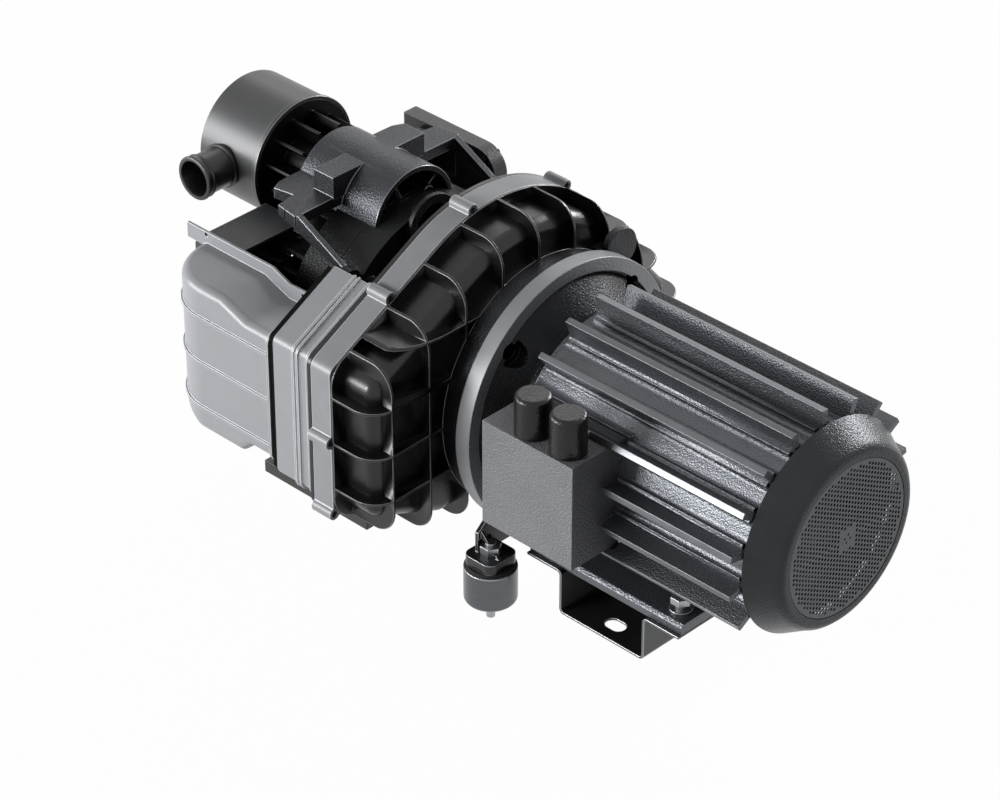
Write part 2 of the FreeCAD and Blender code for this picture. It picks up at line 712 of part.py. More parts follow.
# Grille: a pressed disc with a field of holes
grille_front = cowl_end - s.grille_thickness
grille_holes = []
columns = int(float(grille_radius) / float(s.grille_pitch)) + 1
for row in range(-columns, columns + 1):
    for column in range(-columns, columns + 1):
        y = s.grille_pitch * (column + (row % 2) / 2)
        z = s.grille_pitch * row * math.sin(math.radians(60))
        reach = math.hypot(float(y), float(z))
        if reach < float(grille_radius - s.grille_hole) - 2 and reach > float(s.grille_pitch) * 0.6:
            grille_holes.append(cylinder("X", s.grille_hole, grille_front - 1, cowl_end + 1, (y, z)))
grille = cylinder("X", grille_radius, grille_front, cowl_end)
piece("fan_grille", cut(grille, *grille_holes))

# Motor shaft, rotor, stator and windings
fan_front = rear_shield_end + 3
fan_back = cowl_end - s.cowl_wall - 5
stator_end = s.stator_start + s.stator_length
shaft_tip = flange_back - s.shaft_extension
piece("motor_shaft", turned([
    (shaft_tip, 0),
    (shaft_tip, s.shaft_radius),
    (flange_back, s.shaft_radius),
    (flange_back, s.motor_journal),
    (bearing_front + 3, s.motor_journal),
    (bearing_front + 3, s.rotor_seat),
    (rear_hub_front - 3, s.rotor_seat),
    (rear_hub_front - 3, s.motor_journal),
    (rear_shield_end + 1, s.motor_journal),
    (rear_shield_end + 1, s.motor_fan_seat),
    (fan_back, s.motor_fan_seat),
    (fan_back, 0),
]))
piece("rotor_core", tube("X", s.rotor_radius, s.rotor_seat, s.stator_start, stator_end))
stator_bore = s.rotor_radius + s.air_gap
piece("stator_core", tube("X", barrel_inner, stator_bore, s.stator_start, stator_end))
front_winding = s.stator_start - s.winding_length
winding_outer = barrel_inner - s.winding_gap
winding_inner = s.rotor_radius + s.winding_gap
windings = [
    tube("X", winding_outer, winding_inner, front_winding, s.stator_start),
    tube("X", winding_outer, winding_inner, stator_end, stator_end + s.winding_length),
]
piece("stator_windings", group(*windings))

# Motor fan: a hub, a disc and straight blades
motor_fan_radius = grille_radius - s.motor_fan_play
blades = []
for number in range(8):
    x = (fan_front + 3, fan_front + 3 + s.motor_fan_width)
    blades.append(radial_block(x, s.blade_thickness, (s.motor_fan_hub - 2, motor_fan_radius), number * 45))
fan_solids = [
    cylinder("X", s.motor_fan_hub, fan_front, fan_back - 1),
    cylinder("X", motor_fan_radius - 4, fan_front, fan_front + 3),
]
fan_bore = cylinder("X", s.motor_fan_seat, fan_front - 1, fan_back + 1)
piece("motor_fan", cut(together(*fan_solids, *blades), fan_bore))

# Terminal box: a cast box that is open towards the frame, with two gland caps on top
box_out = -box_seat - s.box_depth
inner_x = (s.box_front + s.box_wall, box_back - s.box_wall)
box = block((s.box_front, box_back), (box_out, -box_seat), (box_floor, s.box_top))
room = block(inner_x, (box_out + s.box_wall, 0), (box_floor + s.box_wall, s.box_top - s.box_wall))
around_frame = cylinder("X", s.barrel_radius, s.barrel_start, barrel_end)
gland_places = []
for number in range(2):
    gland_places.append((s.box_front + s.gland_first + s.gland_spacing * number, -box_seat - s.gland_out))
stem_holes = []
caps = []
for at in gland_places:
    stem_holes.append(cylinder("Z", s.gland_stem, s.box_top - s.box_wall - 1, s.box_top + 1, at))
    cap_top = s.box_top + s.gland_height
    cap = cylinder("Z", s.gland_radius, s.box_top, cap_top, at)
    stem = cylinder("Z", s.gland_stem, s.box_top - s.box_wall - 5, s.box_top, at)
    caps.append(together(rounded(cap, s.gland_round, lambda box: near(box.ZMin, cap_top)), stem))
piece("terminal_box", cut(box, room, around_frame, *stem_holes))
piece("cable_glands", group(*caps))
block_back = -s.barrel_radius - s.part_gap / 2
middle = s.box_front + s.box_length / 2
terminal_body = block((middle - 24, middle + 24), (block_back - 14, block_back), (-20, 20))
terminal_slots = []
for step in (-1, 0, 1):
    x = middle + 16 * step
    terminal_slots.append(block((x - 6, x + 6), (block_back - 15, block_back - 8), (-16, 16)))
piece("terminal_block", cut(terminal_body, *terminal_slots))

# Folded bracket under the foot, with the bolts that hold it
sheet_gauge = s.bracket_sheet
leg_front = s.foot_start + s.bracket_inset
leg_back = foot_end - s.bracket_inset
floor_bottom = -s.axis_height
bracket = padded("Y", [
    (s.foot_start, foot_bottom),
    (leg_front + sheet_gauge, foot_bottom),
    (leg_front + sheet_gauge, floor_bottom + sheet_gauge),
    (leg_back - sheet_gauge, floor_bottom + sheet_gauge),
    (leg_back - sheet_gauge, foot_bottom),
    (foot_end, foot_bottom),
    (foot_end, foot_bottom - sheet_gauge),
    (leg_back, foot_bottom - sheet_gauge),
    (leg_back, floor_bottom),
    (leg_front, floor_bottom),
    (leg_front, foot_bottom - sheet_gauge),
    (s.foot_start, foot_bottom - sheet_gauge),
], -s.bracket_half_width, s.bracket_half_width)
bends = [
    (leg_front + sheet_gauge, floor_bottom + sheet_gauge, s.bracket_round),
    (leg_back - sheet_gauge, floor_bottom + sheet_gauge, s.bracket_round),
    (leg_front, foot_bottom - sheet_gauge, s.bracket_round),
    (leg_back, foot_bottom - sheet_gauge, s.bracket_round),
    (leg_front + sheet_gauge, foot_bottom, s.bracket_round + sheet_gauge),
    (leg_back - sheet_gauge, foot_bottom, s.bracket_round + sheet_gauge),
    (leg_front, floor_bottom, s.bracket_round + sheet_gauge),
    (leg_back, floor_bottom, s.bracket_round + sheet_gauge),
]
for bend_x, bend_z, bend_radius in bends:
    bracket = rounded(bracket, bend_radius, lambda box: across(box, bend_x, bend_z))
slot_middle = (leg_front + leg_back) / 2
half_slot = (s.slot_length - s.slot_width) / 2
slot_tools = []
slot_z = (floor_bottom - 1, floor_bottom + sheet_gauge + 1)
for y in (-s.slot_side, s.slot_side):
    slot_tools.append(block((slot_middle - half_slot, slot_middle + half_slot),
                            (y - s.slot_width / 2, y + s.slot_width / 2), slot_z))
    for x in (slot_middle - half_slot, slot_middle + half_slot):
        slot_tools.append(cylinder("Z", s.slot_width / 2, slot_z[0], slot_z[1], (x, y)))
for at in foot_bolt_places:
    hole = s.foot_bolt + s.bolt_gap
    slot_tools.append(cylinder("Z", hole, foot_bottom - sheet_gauge - 1, foot_bottom + 1, at))
piece("foot_bracket", cut(bracket, *slot_tools))
foot_bolts = []
foot_nuts = []
for at in foot_bolt_places:
    head = -foot_top + s.foot_bolt_lift
    nut_top = foot_bottom - sheet_gauge
    nut_bottom = nut_top - s.nut_height
    foot_bolts.append(together(
        cylinder("Z", s.foot_bolt, nut_bottom - 3, head, at),
        hexagon("Z", s.hex_radius, head, head + s.bolt_head, at),
    ))
    foot_nuts.append(cut(
        hexagon("Z", s.hex_radius, nut_bottom, nut_top, at),
        cylinder("Z", s.foot_bolt, nut_bottom - 1, nut_top + 1, at),
    ))
    foot_nuts.append(tube("Z", s.washer_radius, s.foot_bolt, -foot_top, -foot_top + s.washer_thickness, at))
piece("foot_bolts", group(*foot_bolts))
piece("foot_nuts", group(*foot_nuts))

# Vibration mounts: a rubber block in a steel cup under a pressed bracket on each side
cup_top = -s.axis_height + s.cup_height
rubber_top = cup_top + s.rubber_rise
tray_top = rubber_top + s.tray_skirt
ear_y = s.bolt_circle * math.cos(math.radians(45))
mount_cups = []
mount_rubbers = []
mount_studs = []
mount_nuts = []
for name, side in (("left", -1), ("right", 1)):
    at = (s.mount_ahead, s.mount_side * side)
    floor = -s.axis_height
    cup_body = cylinder("Z", s.cup_radius, floor, cup_top, at)
    cup_outside = rounded(cup_body, s.cup_round, lambda box: near(box.ZMax, floor))
    cup_room = cylinder("Z", s.cup_radius - s.cup_wall, floor + s.cup_round, cup_top + 1, at)
    stud_hole = cylinder("Z", s.stud_neck, floor - 1, floor + s.cup_round + 1, at)
    mount_cups.append(cut(cup_outside, cup_room, stud_hole))
    head_top = floor + s.cup_round + 4
    rubber = cylinder("Z", s.cup_radius - s.cup_wall, floor + s.cup_round, rubber_top, at)
    low_room = cylinder("Z", s.stud_radius * 2, floor + s.cup_round - 1, head_top, at)
    high_room = cylinder("Z", s.stud_radius * 2, rubber_top - 4, rubber_top + 1, at)
    mount_rubbers.append(cut(rubber, low_room, high_room))
    mount_studs.append(together(
        cylinder("Z", s.stud_radius, floor - s.stud_reach, floor + 1, at),
        cylinder("Z", s.stud_neck, floor, floor + s.cup_round, at),
        cylinder("Z", s.stud_radius * 2, floor + s.cup_round, head_top, at),
    ))
    stud_top = tray_top + s.nut_height + 3
    mount_studs.append(together(
        cylinder("Z", s.stud_radius * 2, rubber_top - 4, rubber_top, at),
        cylinder("Z", s.upper_stud, rubber_top, stud_top, at),
    ))
    mount_nuts.append(cut(
        hexagon("Z", s.hex_radius, tray_top, tray_top + s.nut_height, at),
        cylinder("Z", s.upper_stud, tray_top - 1, stud_top, at),
    ))
    tray_y = (at[1] - s.tray_half_width, at[1] + s.tray_half_width)
    tray = rounded(block((s.tray_back, s.tray_front), tray_y, (rubber_top, tray_top)), s.tray_round, upright)
    gauge = s.mount_sheet
    room_x = (s.tray_back + gauge, s.tray_front - gauge)
    room_y = (tray_y[0] + gauge, tray_y[1] - gauge)
    tray_room = block(room_x, room_y, (rubber_top - 1, tray_top - gauge))
    tray_room = rounded(tray_room, s.tray_round - gauge, upright)
    seat_disc = cylinder("Z", s.washer_radius, rubber_top, tray_top, at)
    stud_room = cylinder("Z", s.upper_stud, rubber_top - 1, tray_top + 1, at)
    ear_middle = ear_y * side
    out = s.mount_side * side + s.ear_half_width * side * 0.4
    ear_points = [
        (ear_middle - s.ear_half_width * side * 0.65, -ear_y + s.ear_rise),
        (ear_middle - s.ear_half_width * side, -ear_y),
        (ear_middle - s.ear_half_width * side * 0.65, tray_top - gauge),
        (out, tray_top - gauge),
        (out, -ear_y - s.ear_half_width * 0.6),
        (ear_middle + s.ear_half_width * side * 0.9, -ear_y + s.ear_rise * 0.6),
        (ear_middle + s.ear_half_width * side * 0.4, -ear_y + s.ear_rise),
    ]
    ear = padded("X", ear_points, 0, s.ear_thickness)
    gusset_y = at[1] + s.ear_half_width * side * 0.15
    half_gusset = gauge / 2
    gusset = padded("Y", [
        (s.ear_thickness - 1, tray_top - gauge),
        (s.ear_thickness - 1, tray_top + s.tray_skirt * 2.2),
        (s.tray_front - gauge, tray_top),
        (s.tray_front - gauge, tray_top - gauge),
    ], gusset_y - half_gusset, gusset_y + half_gusset)
    nut_room = cylinder("Z", s.hex_radius + 1, tray_top, stud_top + 1, at)
    bolt_at = (ear_y * side, -ear_y)
    ear_hole = cylinder("X", s.bolt_hole, -1, s.ear_thickness + 1, bolt_at)
    shield_cone = cut(
        cone("X", s.shield_foot + s.part_gap, s.barrel_radius + s.part_gap, -s.flange_step, cone_end),
        cylinder("X", spot_radius - s.part_gap, -s.flange_step - 1, cone_end + 1, bolt_at),
    )
    bracket_body = together(cut(tray, tray_room), seat_disc, cut(ear, shield_cone), gusset)
    piece("mount_bracket_" + name, cut(bracket_body, stud_room, nut_room, ear_hole))
piece("mount_cups", group(*mount_cups))
piece("mount_rubbers", group(*mount_rubbers))
piece("mount_studs", group(*mount_studs))
piece("mount_nuts", group(*mount_nuts))
flange_bolts = []
for side in (-1, 1):
    at = (ear_y * side, -ear_y)
    flange_bolts.append(together(
        hexagon("X", s.hex_radius, s.ear_thickness, s.ear_thickness + s.bolt_head, at),
        cylinder("X", s.bolt_hole, flange_back - s.bolt_grip, s.ear_thickness, at),
    ))
piece("flange_bolts", group(*flange_bolts))

# Motor adapter: a ring that takes the motor's spigot, with one lifting ear
pilot_bore = s.pilot_radius + s.pilot_gap
lift_front = flange_back - 2
lift_at = (s.adapter_radius * 0.695, s.adapter_radius * 0.856)
adapter = together(
    cylinder("X", s.adapter_radius, adapter_back, flange_back),
    cylinder("X", s.ear_radius, lift_front - s.ear_length, lift_front, lift_at),
)
adapter_tools = [
    cylinder("X", s.adapter_bore, adapter_back - 1, flange_back + 1),
    cylinder("X", pilot_bore, pilot_back - 0.2, flange_back + 1),
]
hole_end = flange_back - s.bolt_grip - s.bolt_gap
for side in (-1, 1):
    adapter_tools.append(cylinder("X", s.bolt_hole, hole_end, flange_back + 1, (ear_y * side, -ear_y)))
piece("motor_adapter", cut(adapter, *adapter_tools))


def shroud_corners():
    """The shroud's corners in the plane across the shaft, with the arched crown's tangent points."""
    crown = float(s.crown_radius)
    left = (-float(s.shroud_left), float(s.left_shoulder))
    right = (float(s.shroud_right), float(s.right_shoulder))
    starts = []
    for (y, z), turn in ((left, -1), (right, 1)):
        away = math.atan2(z, y)
        spread = math.acos(crown / math.hypot(y, z))
        angle = away + turn * spread
        starts.append((crown * math.cos(angle), crown * math.sin(angle)))
    return left, right, starts[0], starts[1]


def shroud_wire(inset, corner):
    """The shroud's outline moved inwards, with each corner rounded."""
    left, right, crown_left, crown_right = shroud_corners()
    crown = V(0, 0, float(s.crown_radius))
    points = [
        left,
        (-float(s.shroud_left), -float(s.left_foot)),
        (-float(s.floor_left), -float(s.shroud_floor)),
        (float(s.floor_right), -float(s.shroud_floor)),
        (float(s.shroud_right), -float(s.right_foot)),
        right,
    ]
    edges = []
    ends = []
    count = len(points)
    before = [crown_left] + points[:-1]
    after = points[1:] + [crown_right]
    for number in range(count):
        here = V(0, *points[number])
        back = (V(0, *before[number]) - here).normalize()
        ahead = (V(0, *after[number]) - here).normalize()
        half = back.getAngle(ahead) / 2
        reach = corner / math.tan(half)
        first = here + back * reach
        last = here + ahead * reach
        middle = here + (back + ahead).normalize() * (corner / math.sin(half) - corner)
        ends.append((first, middle, last))
    start = V(0, *crown_left)
    for first, middle, last in ends:
        edges.append(Part.makeLine(start, first))
        edges.append(Part.Arc(first, middle, last).toShape())
        start = last
    finish = V(0, *crown_right)
    edges.append(Part.makeLine(start, finish))
    edges.append(Part.Arc(finish, crown, V(0, *crown_left)).toShape())
    wire = Part.Wire(edges)
    if inset:
        wire = wire.makeOffset2D(-inset)
    return wire


def shroud_solid(inset, corner, start, end, round_edge=0):
    """The shroud's outline as a solid along the shaft, its front edge rounded."""
    face = Part.Face(shroud_wire(inset, corner))
    solid = face.extrude(V(end - start, 0, 0))
    solid.translate(V(start, 0, 0))
    if round_edge:
        front = [edge for edge in solid.Edges if edge.BoundBox.XMin > end - 0.01]
        solid = solid.makeFillet(round_edge, front)
    return solid


# Fan shroud: a moulded cover with a grid of thin ribs, and a plain band behind it
start = float(band_front)
end = float(adapter_back)
corner = float(s.shroud_corner)
inset = float(s.skin_inset)
wall = float(s.skin_wall)
ribs_outside = shroud_solid(0, corner, start, end, float(s.shroud_round))
skin_round = float(s.shroud_round) - inset
skin_outside = shroud_solid(inset, corner, start, end - inset, skin_round)
skin_inside = shroud_solid(inset + wall, corner, start - 1, end - inset - wall, skin_round - wall)
upright_ribs = []
level_ribs = []
half_rib = float(s.rib_thickness) / 2
pitch_across = float(s.rib_pitch_across)
pitch_up = float(s.rib_pitch_up)
reach = 2 * float(s.crown_radius)
for number in range(-4, 4):
    y = number * pitch_across
    upright_ribs.append(Part.makeBox(reach, 2 * half_rib, 2 * reach, V(start, y - half_rib, -reach)))
for number in range(-1, 3):
    z = number * pitch_up
    level_ribs.append(Part.makeBox(reach, 2 * reach, 2 * half_rib, V(start, -reach, z - half_rib)))
grid = upright_ribs[0].multiFuse(upright_ribs[1:] + level_ribs)
ring_boss = Part.makeCylinder(float(s.adapter_radius), end - start, V(start, 0, 0), V(1, 0, 0))
edge_frame = shroud_solid(0, corner, start, start + 2 * half_rib)
cover = ribs_outside.common(grid.fuse([ring_boss, edge_frame])).fuse(skin_outside)
opening = Part.makeCylinder(float(s.adapter_bore), reach, V(start, 0, 0), V(1, 0, 0))
boss_room = Part.makeCylinder(float(s.adapter_radius) - wall, end - inset - start, V(start, 0, 0), V(1, 0, 0))
cover = cover.cut([skin_inside, opening, boss_room.common(skin_inside)])
piece("fan_shroud_front", formed(cover))

# Band and rear wall: a plain closed ring with screw lugs, and the plate that closes it
band_corner = float(s.band_corner)
band_back = float(wall_front)
band = shroud_solid(0, band_corner, band_back, start)
band_room = shroud_solid(float(s.band_wall), band_corner, band_back - 1, start + 1)
left, right, crown_left, crown_right = shroud_corners()
lug_places = [
    (left[0], 0),
    (left[0] + 2, -float(s.left_foot)),
    ((left[0] * 0.42 + crown_left[0] * 0.58), (left[1] * 0.42 + crown_left[1] * 0.58) + 1),
    polar(float(s.crown_radius) + 1, 100),
    polar(float(s.crown_radius) + 1, 56),
    ((right[0] + crown_right[0]) / 2, (right[1] + crown_right[1]) / 2),
    (0, -float(s.shroud_floor) - 1),
]
lugs = []
lug_holes = []
screw = float(s.screw_radius)
for y, z in lug_places:
    lugs.append(Part.makeCylinder(screw, start - band_back, V(band_back, y, z), V(1, 0, 0)))
    hole = Part.makeCylinder(float(s.screw_hole), start - band_back + 2, V(band_back - 1, y, z), V(1, 0, 0))
    lug_holes.append(hole)
band = band.cut(band_room).fuse(lugs).cut(lug_holes)
piece("shroud_band", formed(band))
back = float(wall_back)
wall_plate = shroud_solid(0, band_corner, back, band_back)
opening = Part.makeCylinder(float(s.wall_opening), reach, V(back - 1, 0, 0), V(1, 0, 0))
window_edge = float(s.window_edge)
window_width = float(s.duct_out) - float(s.duct_in) - 2 * window_edge
window_height = float(s.window_height)
window_corner = V(back - 1, -float(s.duct_out) + window_edge, -window_height / 2)
window = Part.makeBox(reach, window_width, window_height, window_corner)
piece("shroud_wall", formed(wall_plate.cut([opening, window])))

# Middle duct: a closed channel from the shroud's left window back to the left cover
duct_width = s.duct_out - s.duct_in


def channel(inset, start, end):
    """A length of the middle duct's outline, moved inwards, with its outer edges rounded."""
    outer = -s.duct_out + inset
    solid = padded("X", [
        (outer, -s.duct_foot + inset * 0.8),
        (-s.duct_in - inset, -s.duct_foot - duct_width * s.duct_fall + inset * 1.3),
        (-s.duct_in - inset, s.duct_shoulder + duct_width * s.duct_climb - inset * 1.4),
        (outer, s.duct_shoulder - inset * 0.8),
    ], start, end)
    return rounded(solid, s.duct_round - inset, lambda box: near(box.YMax, outer) and box.ZLength < 1)


duct_back = wall_back - s.duct_length
duct_neck = duct_back + s.duct_groove
duct_outside = together(
    channel(as_size(0), duct_neck, wall_back),
    channel(s.duct_wall / 2, duct_back, duct_neck + 1),
)
duct_inside = channel(s.duct_wall, duct_back - 1, wall_back + 1)
beads = []
for x in (wall_back - 3.5, wall_back - 16, wall_back - 21):
    beads.append(channel(-s.bead_height, x - s.bead_width, x))
inner_side = block(
    (duct_back - 2, wall_back + 2),
    (-s.duct_in, -s.duct_in + 10),
    (-s.crown_radius, s.crown_radius),
)
piece("duct_mid", cut(together(duct_outside, *beads), duct_inside, inner_side))

# Left duct cover: a shell with a large rounded rear corner, open towards the scroll
cover_back = duct_back - s.cover_length
cover_corner = s.cover_out - s.cover_in - s.cover_flat


def left_cover(inset, slack):
    """The left cover's outline moved inwards; slack opens its front and its inner side."""
    side = padded("Y", [
        (duct_back + slack, -s.cover_foot + 11 + inset),
        (duct_back - 30, -s.cover_foot + 11 + inset),
        (duct_back - 43, -s.cover_foot + inset),
        (cover_back + 46, -s.cover_foot + inset),
        (cover_back + 12 + inset * 0.8, -s.cover_foot + 14 + inset * 0.8),
        (cover_back + inset, -s.cover_foot + 28 + inset * 0.8),
        (cover_back + inset, s.cover_top - inset),
        (duct_back - 62, s.cover_top - inset),
        (duct_back - 32, s.cover_top - s.cover_drop - inset),
        (duct_back + slack, s.cover_top - s.cover_drop - inset),
    ], -s.cover_out + inset, -s.cover_in + slack)
    plan = block(
        (cover_back + inset, duct_back + slack + 1),
        (-s.cover_out + inset, -s.cover_in + slack + 1),
        (-s.cover_foot, s.cover_top),
    )
    outer = -float(s.cover_out) + float(inset)
    rear = float(cover_back) + float(inset)
    plan = rounded(plan, cover_corner - inset, lambda box: near(box.XMax, rear) and near(box.YMax, outer))
    low = -float(s.cover_foot) + 15
    high = float(s.cover_top - s.cover_drop - inset) - 1

    def shoulder(box):
        """Whether an edge runs along the cover's upper or lower outside corner."""
        level = box.ZMin > high or box.ZMax < low
        return level and (near(box.YMax, outer) or (box.YLength > 10 and box.XLength > 10))

    return rounded(shared(side, plan), s.cover_shoulder - inset, shoulder)


around_x = (cover_back - 10, duct_back)
around_y = (-s.cover_out - 10, -s.cover_in)
around_z = (-s.cover_foot - 10, s.cover_top + 10)
bead_rings = [block((duct_back - s.bead_width, duct_back), around_y, around_z)]
for number in (-1, 0, 1):
    z = s.bead_spacing * number
    bead_rings.append(block(around_x, around_y, (z - s.bead_width / 2, z + s.bead_width / 2)))
cover_beads = shared(left_cover(-s.bead_height, as_size(0)), together(*bead_rings))
cover_outside = together(left_cover(as_size(0), as_size(0)), cover_beads)
cover_inside = left_cover(s.duct_wall, s.duct_wall * 2)
strip_back = cover_back - s.strip_rear
strip_foot = s.cover_top - 4
strip = padded("Y", [
    (strip_back, strip_foot),
    (duct_back - 53, strip_foot),
    (duct_back - 32, strip_foot - 8),
    (duct_back - 3, strip_foot - 8),
    (duct_back - 3, strip_foot + s.strip_height - 8),
    (duct_back - 32, strip_foot + s.strip_height - 8),
    (duct_back - 53, strip_foot + s.strip_height),
    (strip_back, strip_foot + s.strip_height),
], -s.cover_in - s.duct_wall, -s.cover_in)
strip_holes = []
for x, z in ((strip_back + 25, strip_foot + 12), (duct_back - 15, strip_foot + 2)):
    strip_holes.append(cylinder("Y", s.screw_hole / 1.5, -s.cover_in - 10, -s.cover_in + 1, (x, z)))
piece("duct_cover_left", cut(together(cut(cover_outside, cover_inside), strip), *strip_holes))

# Right cover: a shallow moulded tray with a rounded corner
tray_rear = strip_back - 4
tray_front = tray_rear + s.tray_length
tray_y = (s.cover_in, s.cover_in + s.tray_depth)
right_cover = padded("Y", [
    (tray_rear, s.tray_top - s.tray_height),
    (tray_front, s.tray_top - s.tray_height),
    (tray_front, s.tray_top),
    (tray_rear, s.tray_top),
], *tray_y)
right_cover = rounded(right_cover, s.tray_depth * 1.5,
                      lambda box: near(box.XMin, tray_front) and box.ZLength < 1)
tray_edge = s.duct_wall * 4
right_room = block(
    (tray_rear + s.duct_wall, tray_front - tray_edge),
    (s.cover_in - 1, s.cover_in + s.tray_depth - s.duct_wall),
    (s.tray_top - s.tray_height + tray_edge, s.tray_top - tray_edge),
)
tray_holes = []
for x in (tray_front - 12, tray_front - 70):
    tray_holes.append(cylinder("Y", s.screw_hole / 1.5, s.cover_in - 1, tray_y[1] + 1, (x, s.tray_top - 6)))
piece("duct_cover_right", cut(right_cover, right_room, *tray_holes))

# Rear duct: an open box behind the fixed scroll's fins
box_duct_front = fins_end - s.duct_gap
box_duct_back = box_duct_front - s.box_duct_depth
box_duct_foot = s.tray_height - s.tray_top
box_duct_top = s.tray_top - s.box_duct_step
wall_gauge = s.duct_wall
duct_box = padded("Y", [
    (box_duct_back, -box_duct_foot),
    (box_duct_front, -box_duct_foot),
    (box_duct_front, box_duct_top),
    (box_duct_back + s.box_duct_chamfer, box_duct_top),
    (box_duct_back, box_duct_top - s.box_duct_chamfer),
], -s.cover_in, s.cover_in)
duct_room = padded("Y", [
    (box_duct_back + wall_gauge, -box_duct_foot + wall_gauge),
    (box_duct_front + 1, -box_duct_foot + wall_gauge),
    (box_duct_front + 1, box_duct_top - wall_gauge),
    (box_duct_back + s.box_duct_chamfer + 1, box_duct_top - wall_gauge),
    (box_duct_back + wall_gauge, box_duct_top - s.box_duct_chamfer - 1),
], -s.cover_in + wall_gauge, s.cover_in - wall_gauge)
saddle_radius = s.canister_radius + s.duct_gap
saddle_at = (0, s.filter_height)
saddle = cylinder("X", saddle_radius, box_duct_back - 1, box_duct_front + 1, saddle_at)
under_saddle = cylinder("X", saddle_radius + wall_gauge, box_duct_back - 2, box_duct_front + 2, saddle_at)
side_window = block((box_duct_back + 10, box_duct_front + 1), (-s.cover_in - 1, s.cover_in + 1), (-50, 50))
outlet = cylinder("X", s.outlet_radius, box_duct_back - 1, box_duct_front)
stand_offs = []
for side in (-1, 1):
    for level in (-1, 1):
        at = (s.scroll_fin_pitch * 5 * side, s.scroll_fin_pitch * 3 * level)
        stand_offs.append(cylinder("X", s.screw_radius, box_duct_back + wall_gauge / 2, fins_end, at))
duct_shell = cut(duct_box, saddle, cut(duct_room, under_saddle), side_window, outlet)
piece("rear_duct", together(duct_shell, *stand_offs))

# Crankcase: a disc with a rim, a flared bearing hub and four pillars
hub_front = case_front + s.hub_length
seal_back = hub_front - s.seal_width
main_back = seal_back - s.main_bearing_width
case = turned([
    (hub_front, s.main_bearing_radius),
    (hub_front, s.hub_radius),
    (case_front, s.hub_flare),
    (case_front, s.case_radius),
    (case_end, s.case_radius),
    (case_end, s.case_radius - s.case_rim),
    (thrust_face, s.case_radius - s.case_rim),
    (thrust_face, s.cavity_radius),
    (main_back, s.cavity_radius),
    (main_back, s.main_bearing_radius),
])
pillars = []
for degrees in (42, 138, 222, 318):
    at = polar(s.pillar_circle, degrees)
    pillars.append(cylinder("X", s.pillar_radius, case_front - 1, wall_back, at))
boss_at = (0, s.boss_ring_height)
ring = cylinder("X", s.boss_ring_radius, case_front - 1, case_front + s.boss_ring_length, boss_at)
ears = []
ear_back = case_front - 8
for side in (-1, 1):
    y = s.case_ear_out * side
    ears.append(cylinder("X", 9, ear_back, case_front + 2, (y, s.case_ear_up)))
    ears.append(radial_block((ear_back, case_front), 16, (s.case_radius - 12, s.case_radius + 12),
                             90 - 49 * side))
journal_hole = s.crank_journal + s.journal_gap
crank_angles = (30, 150, 270)
crank_tools = []
web_depth = thrust_face + 2.6
bush_back = thrust_face + 3
bush_outer = s.crank_journal + s.bush_wall
for degrees in crank_angles:
    at = polar(s.crank_circle, degrees)
    crank_tools.append(cylinder("X", s.crank_web + 1, thrust_face - 1, bush_back, at))
    crank_tools.append(cylinder("X", bush_outer, thrust_face, bush_back + s.bush_length, at))
ring_bore = cylinder("X", s.boss_ring_bore, case_front - 9, case_front + s.boss_ring_length + 1, boss_at)
piece("crankcase", cut(together(case, *pillars, ring, *ears), ring_bore, *crank_tools))

# Main bearing and dust seal
crank_bore = s.crank_radius + s.journal_gap
piece("main_bearing", tube("X", s.main_bearing_radius, crank_bore, main_back, seal_back))
piece("dust_seal", tube("X", s.main_bearing_radius, crank_bore, seal_back, hub_front))

# Crankshaft: a socket on the motor shaft, a main journal and an eccentric pin
plate_front = thrust_face - s.thrust_gap
plate_back = plate_front - s.plate_thickness
socket_front = shaft_tip + s.socket_length - 8
socket_back = shaft_tip - 8
weight_front = main_back - 2.5
weight_back = weight_front - s.weight_thickness
pin_end = plate_front + 2
crank_solids = together(
    cylinder("X", s.crank_socket, socket_back, socket_front),
    cylinder("X", s.crank_radius, weight_back, socket_back + 1),
    cylinder("X", s.pin_radius, pin_end, weight_back + 1, (0, s.orbit)),
)
shaft_room = cylinder("X", s.shaft_radius, shaft_tip, socket_front + 1)
piece("crankshaft", cut(crank_solids, shaft_room))
weight_disc = cylinder("X", s.weight_radius, weight_back, weight_front)
weight_cut = block((weight_back - 1, weight_front + 1), (-50, 50), (s.crank_radius * 0.3, 60))
weight_ring = cylinder("X", s.crank_radius + 5, weight_back, weight_front)
weight_room = cylinder("X", s.crank_radius, weight_back - 1, weight_front + 1)
piece("counterweight", cut(together(cut(weight_disc, weight_cut), weight_ring), weight_room))

# Cooling fan: a back plate and straight blades on a hub that sits on the socket
fan_x = socket_back + 2
fan_tip = adapter_back - s.skin_inset - s.skin_wall - s.fan_clearance
cool_blades = []
for number in range(12):
    x = (fan_x + s.fan_disc / 2, fan_tip)
    cool_blades.append(radial_block(x, s.blade_thickness, (s.fan_hub + 12, s.fan_radius), number * 30))
cool_fan = together(
    cylinder("X", s.fan_hub, fan_x, fan_tip - 5),
    cylinder("X", s.fan_radius, fan_x, fan_x + s.fan_disc),
    *cool_blades,
)
piece("cooling_fan", cut(cool_fan, cylinder("X", s.crank_socket, fan_x - 1, fan_tip + 1)))


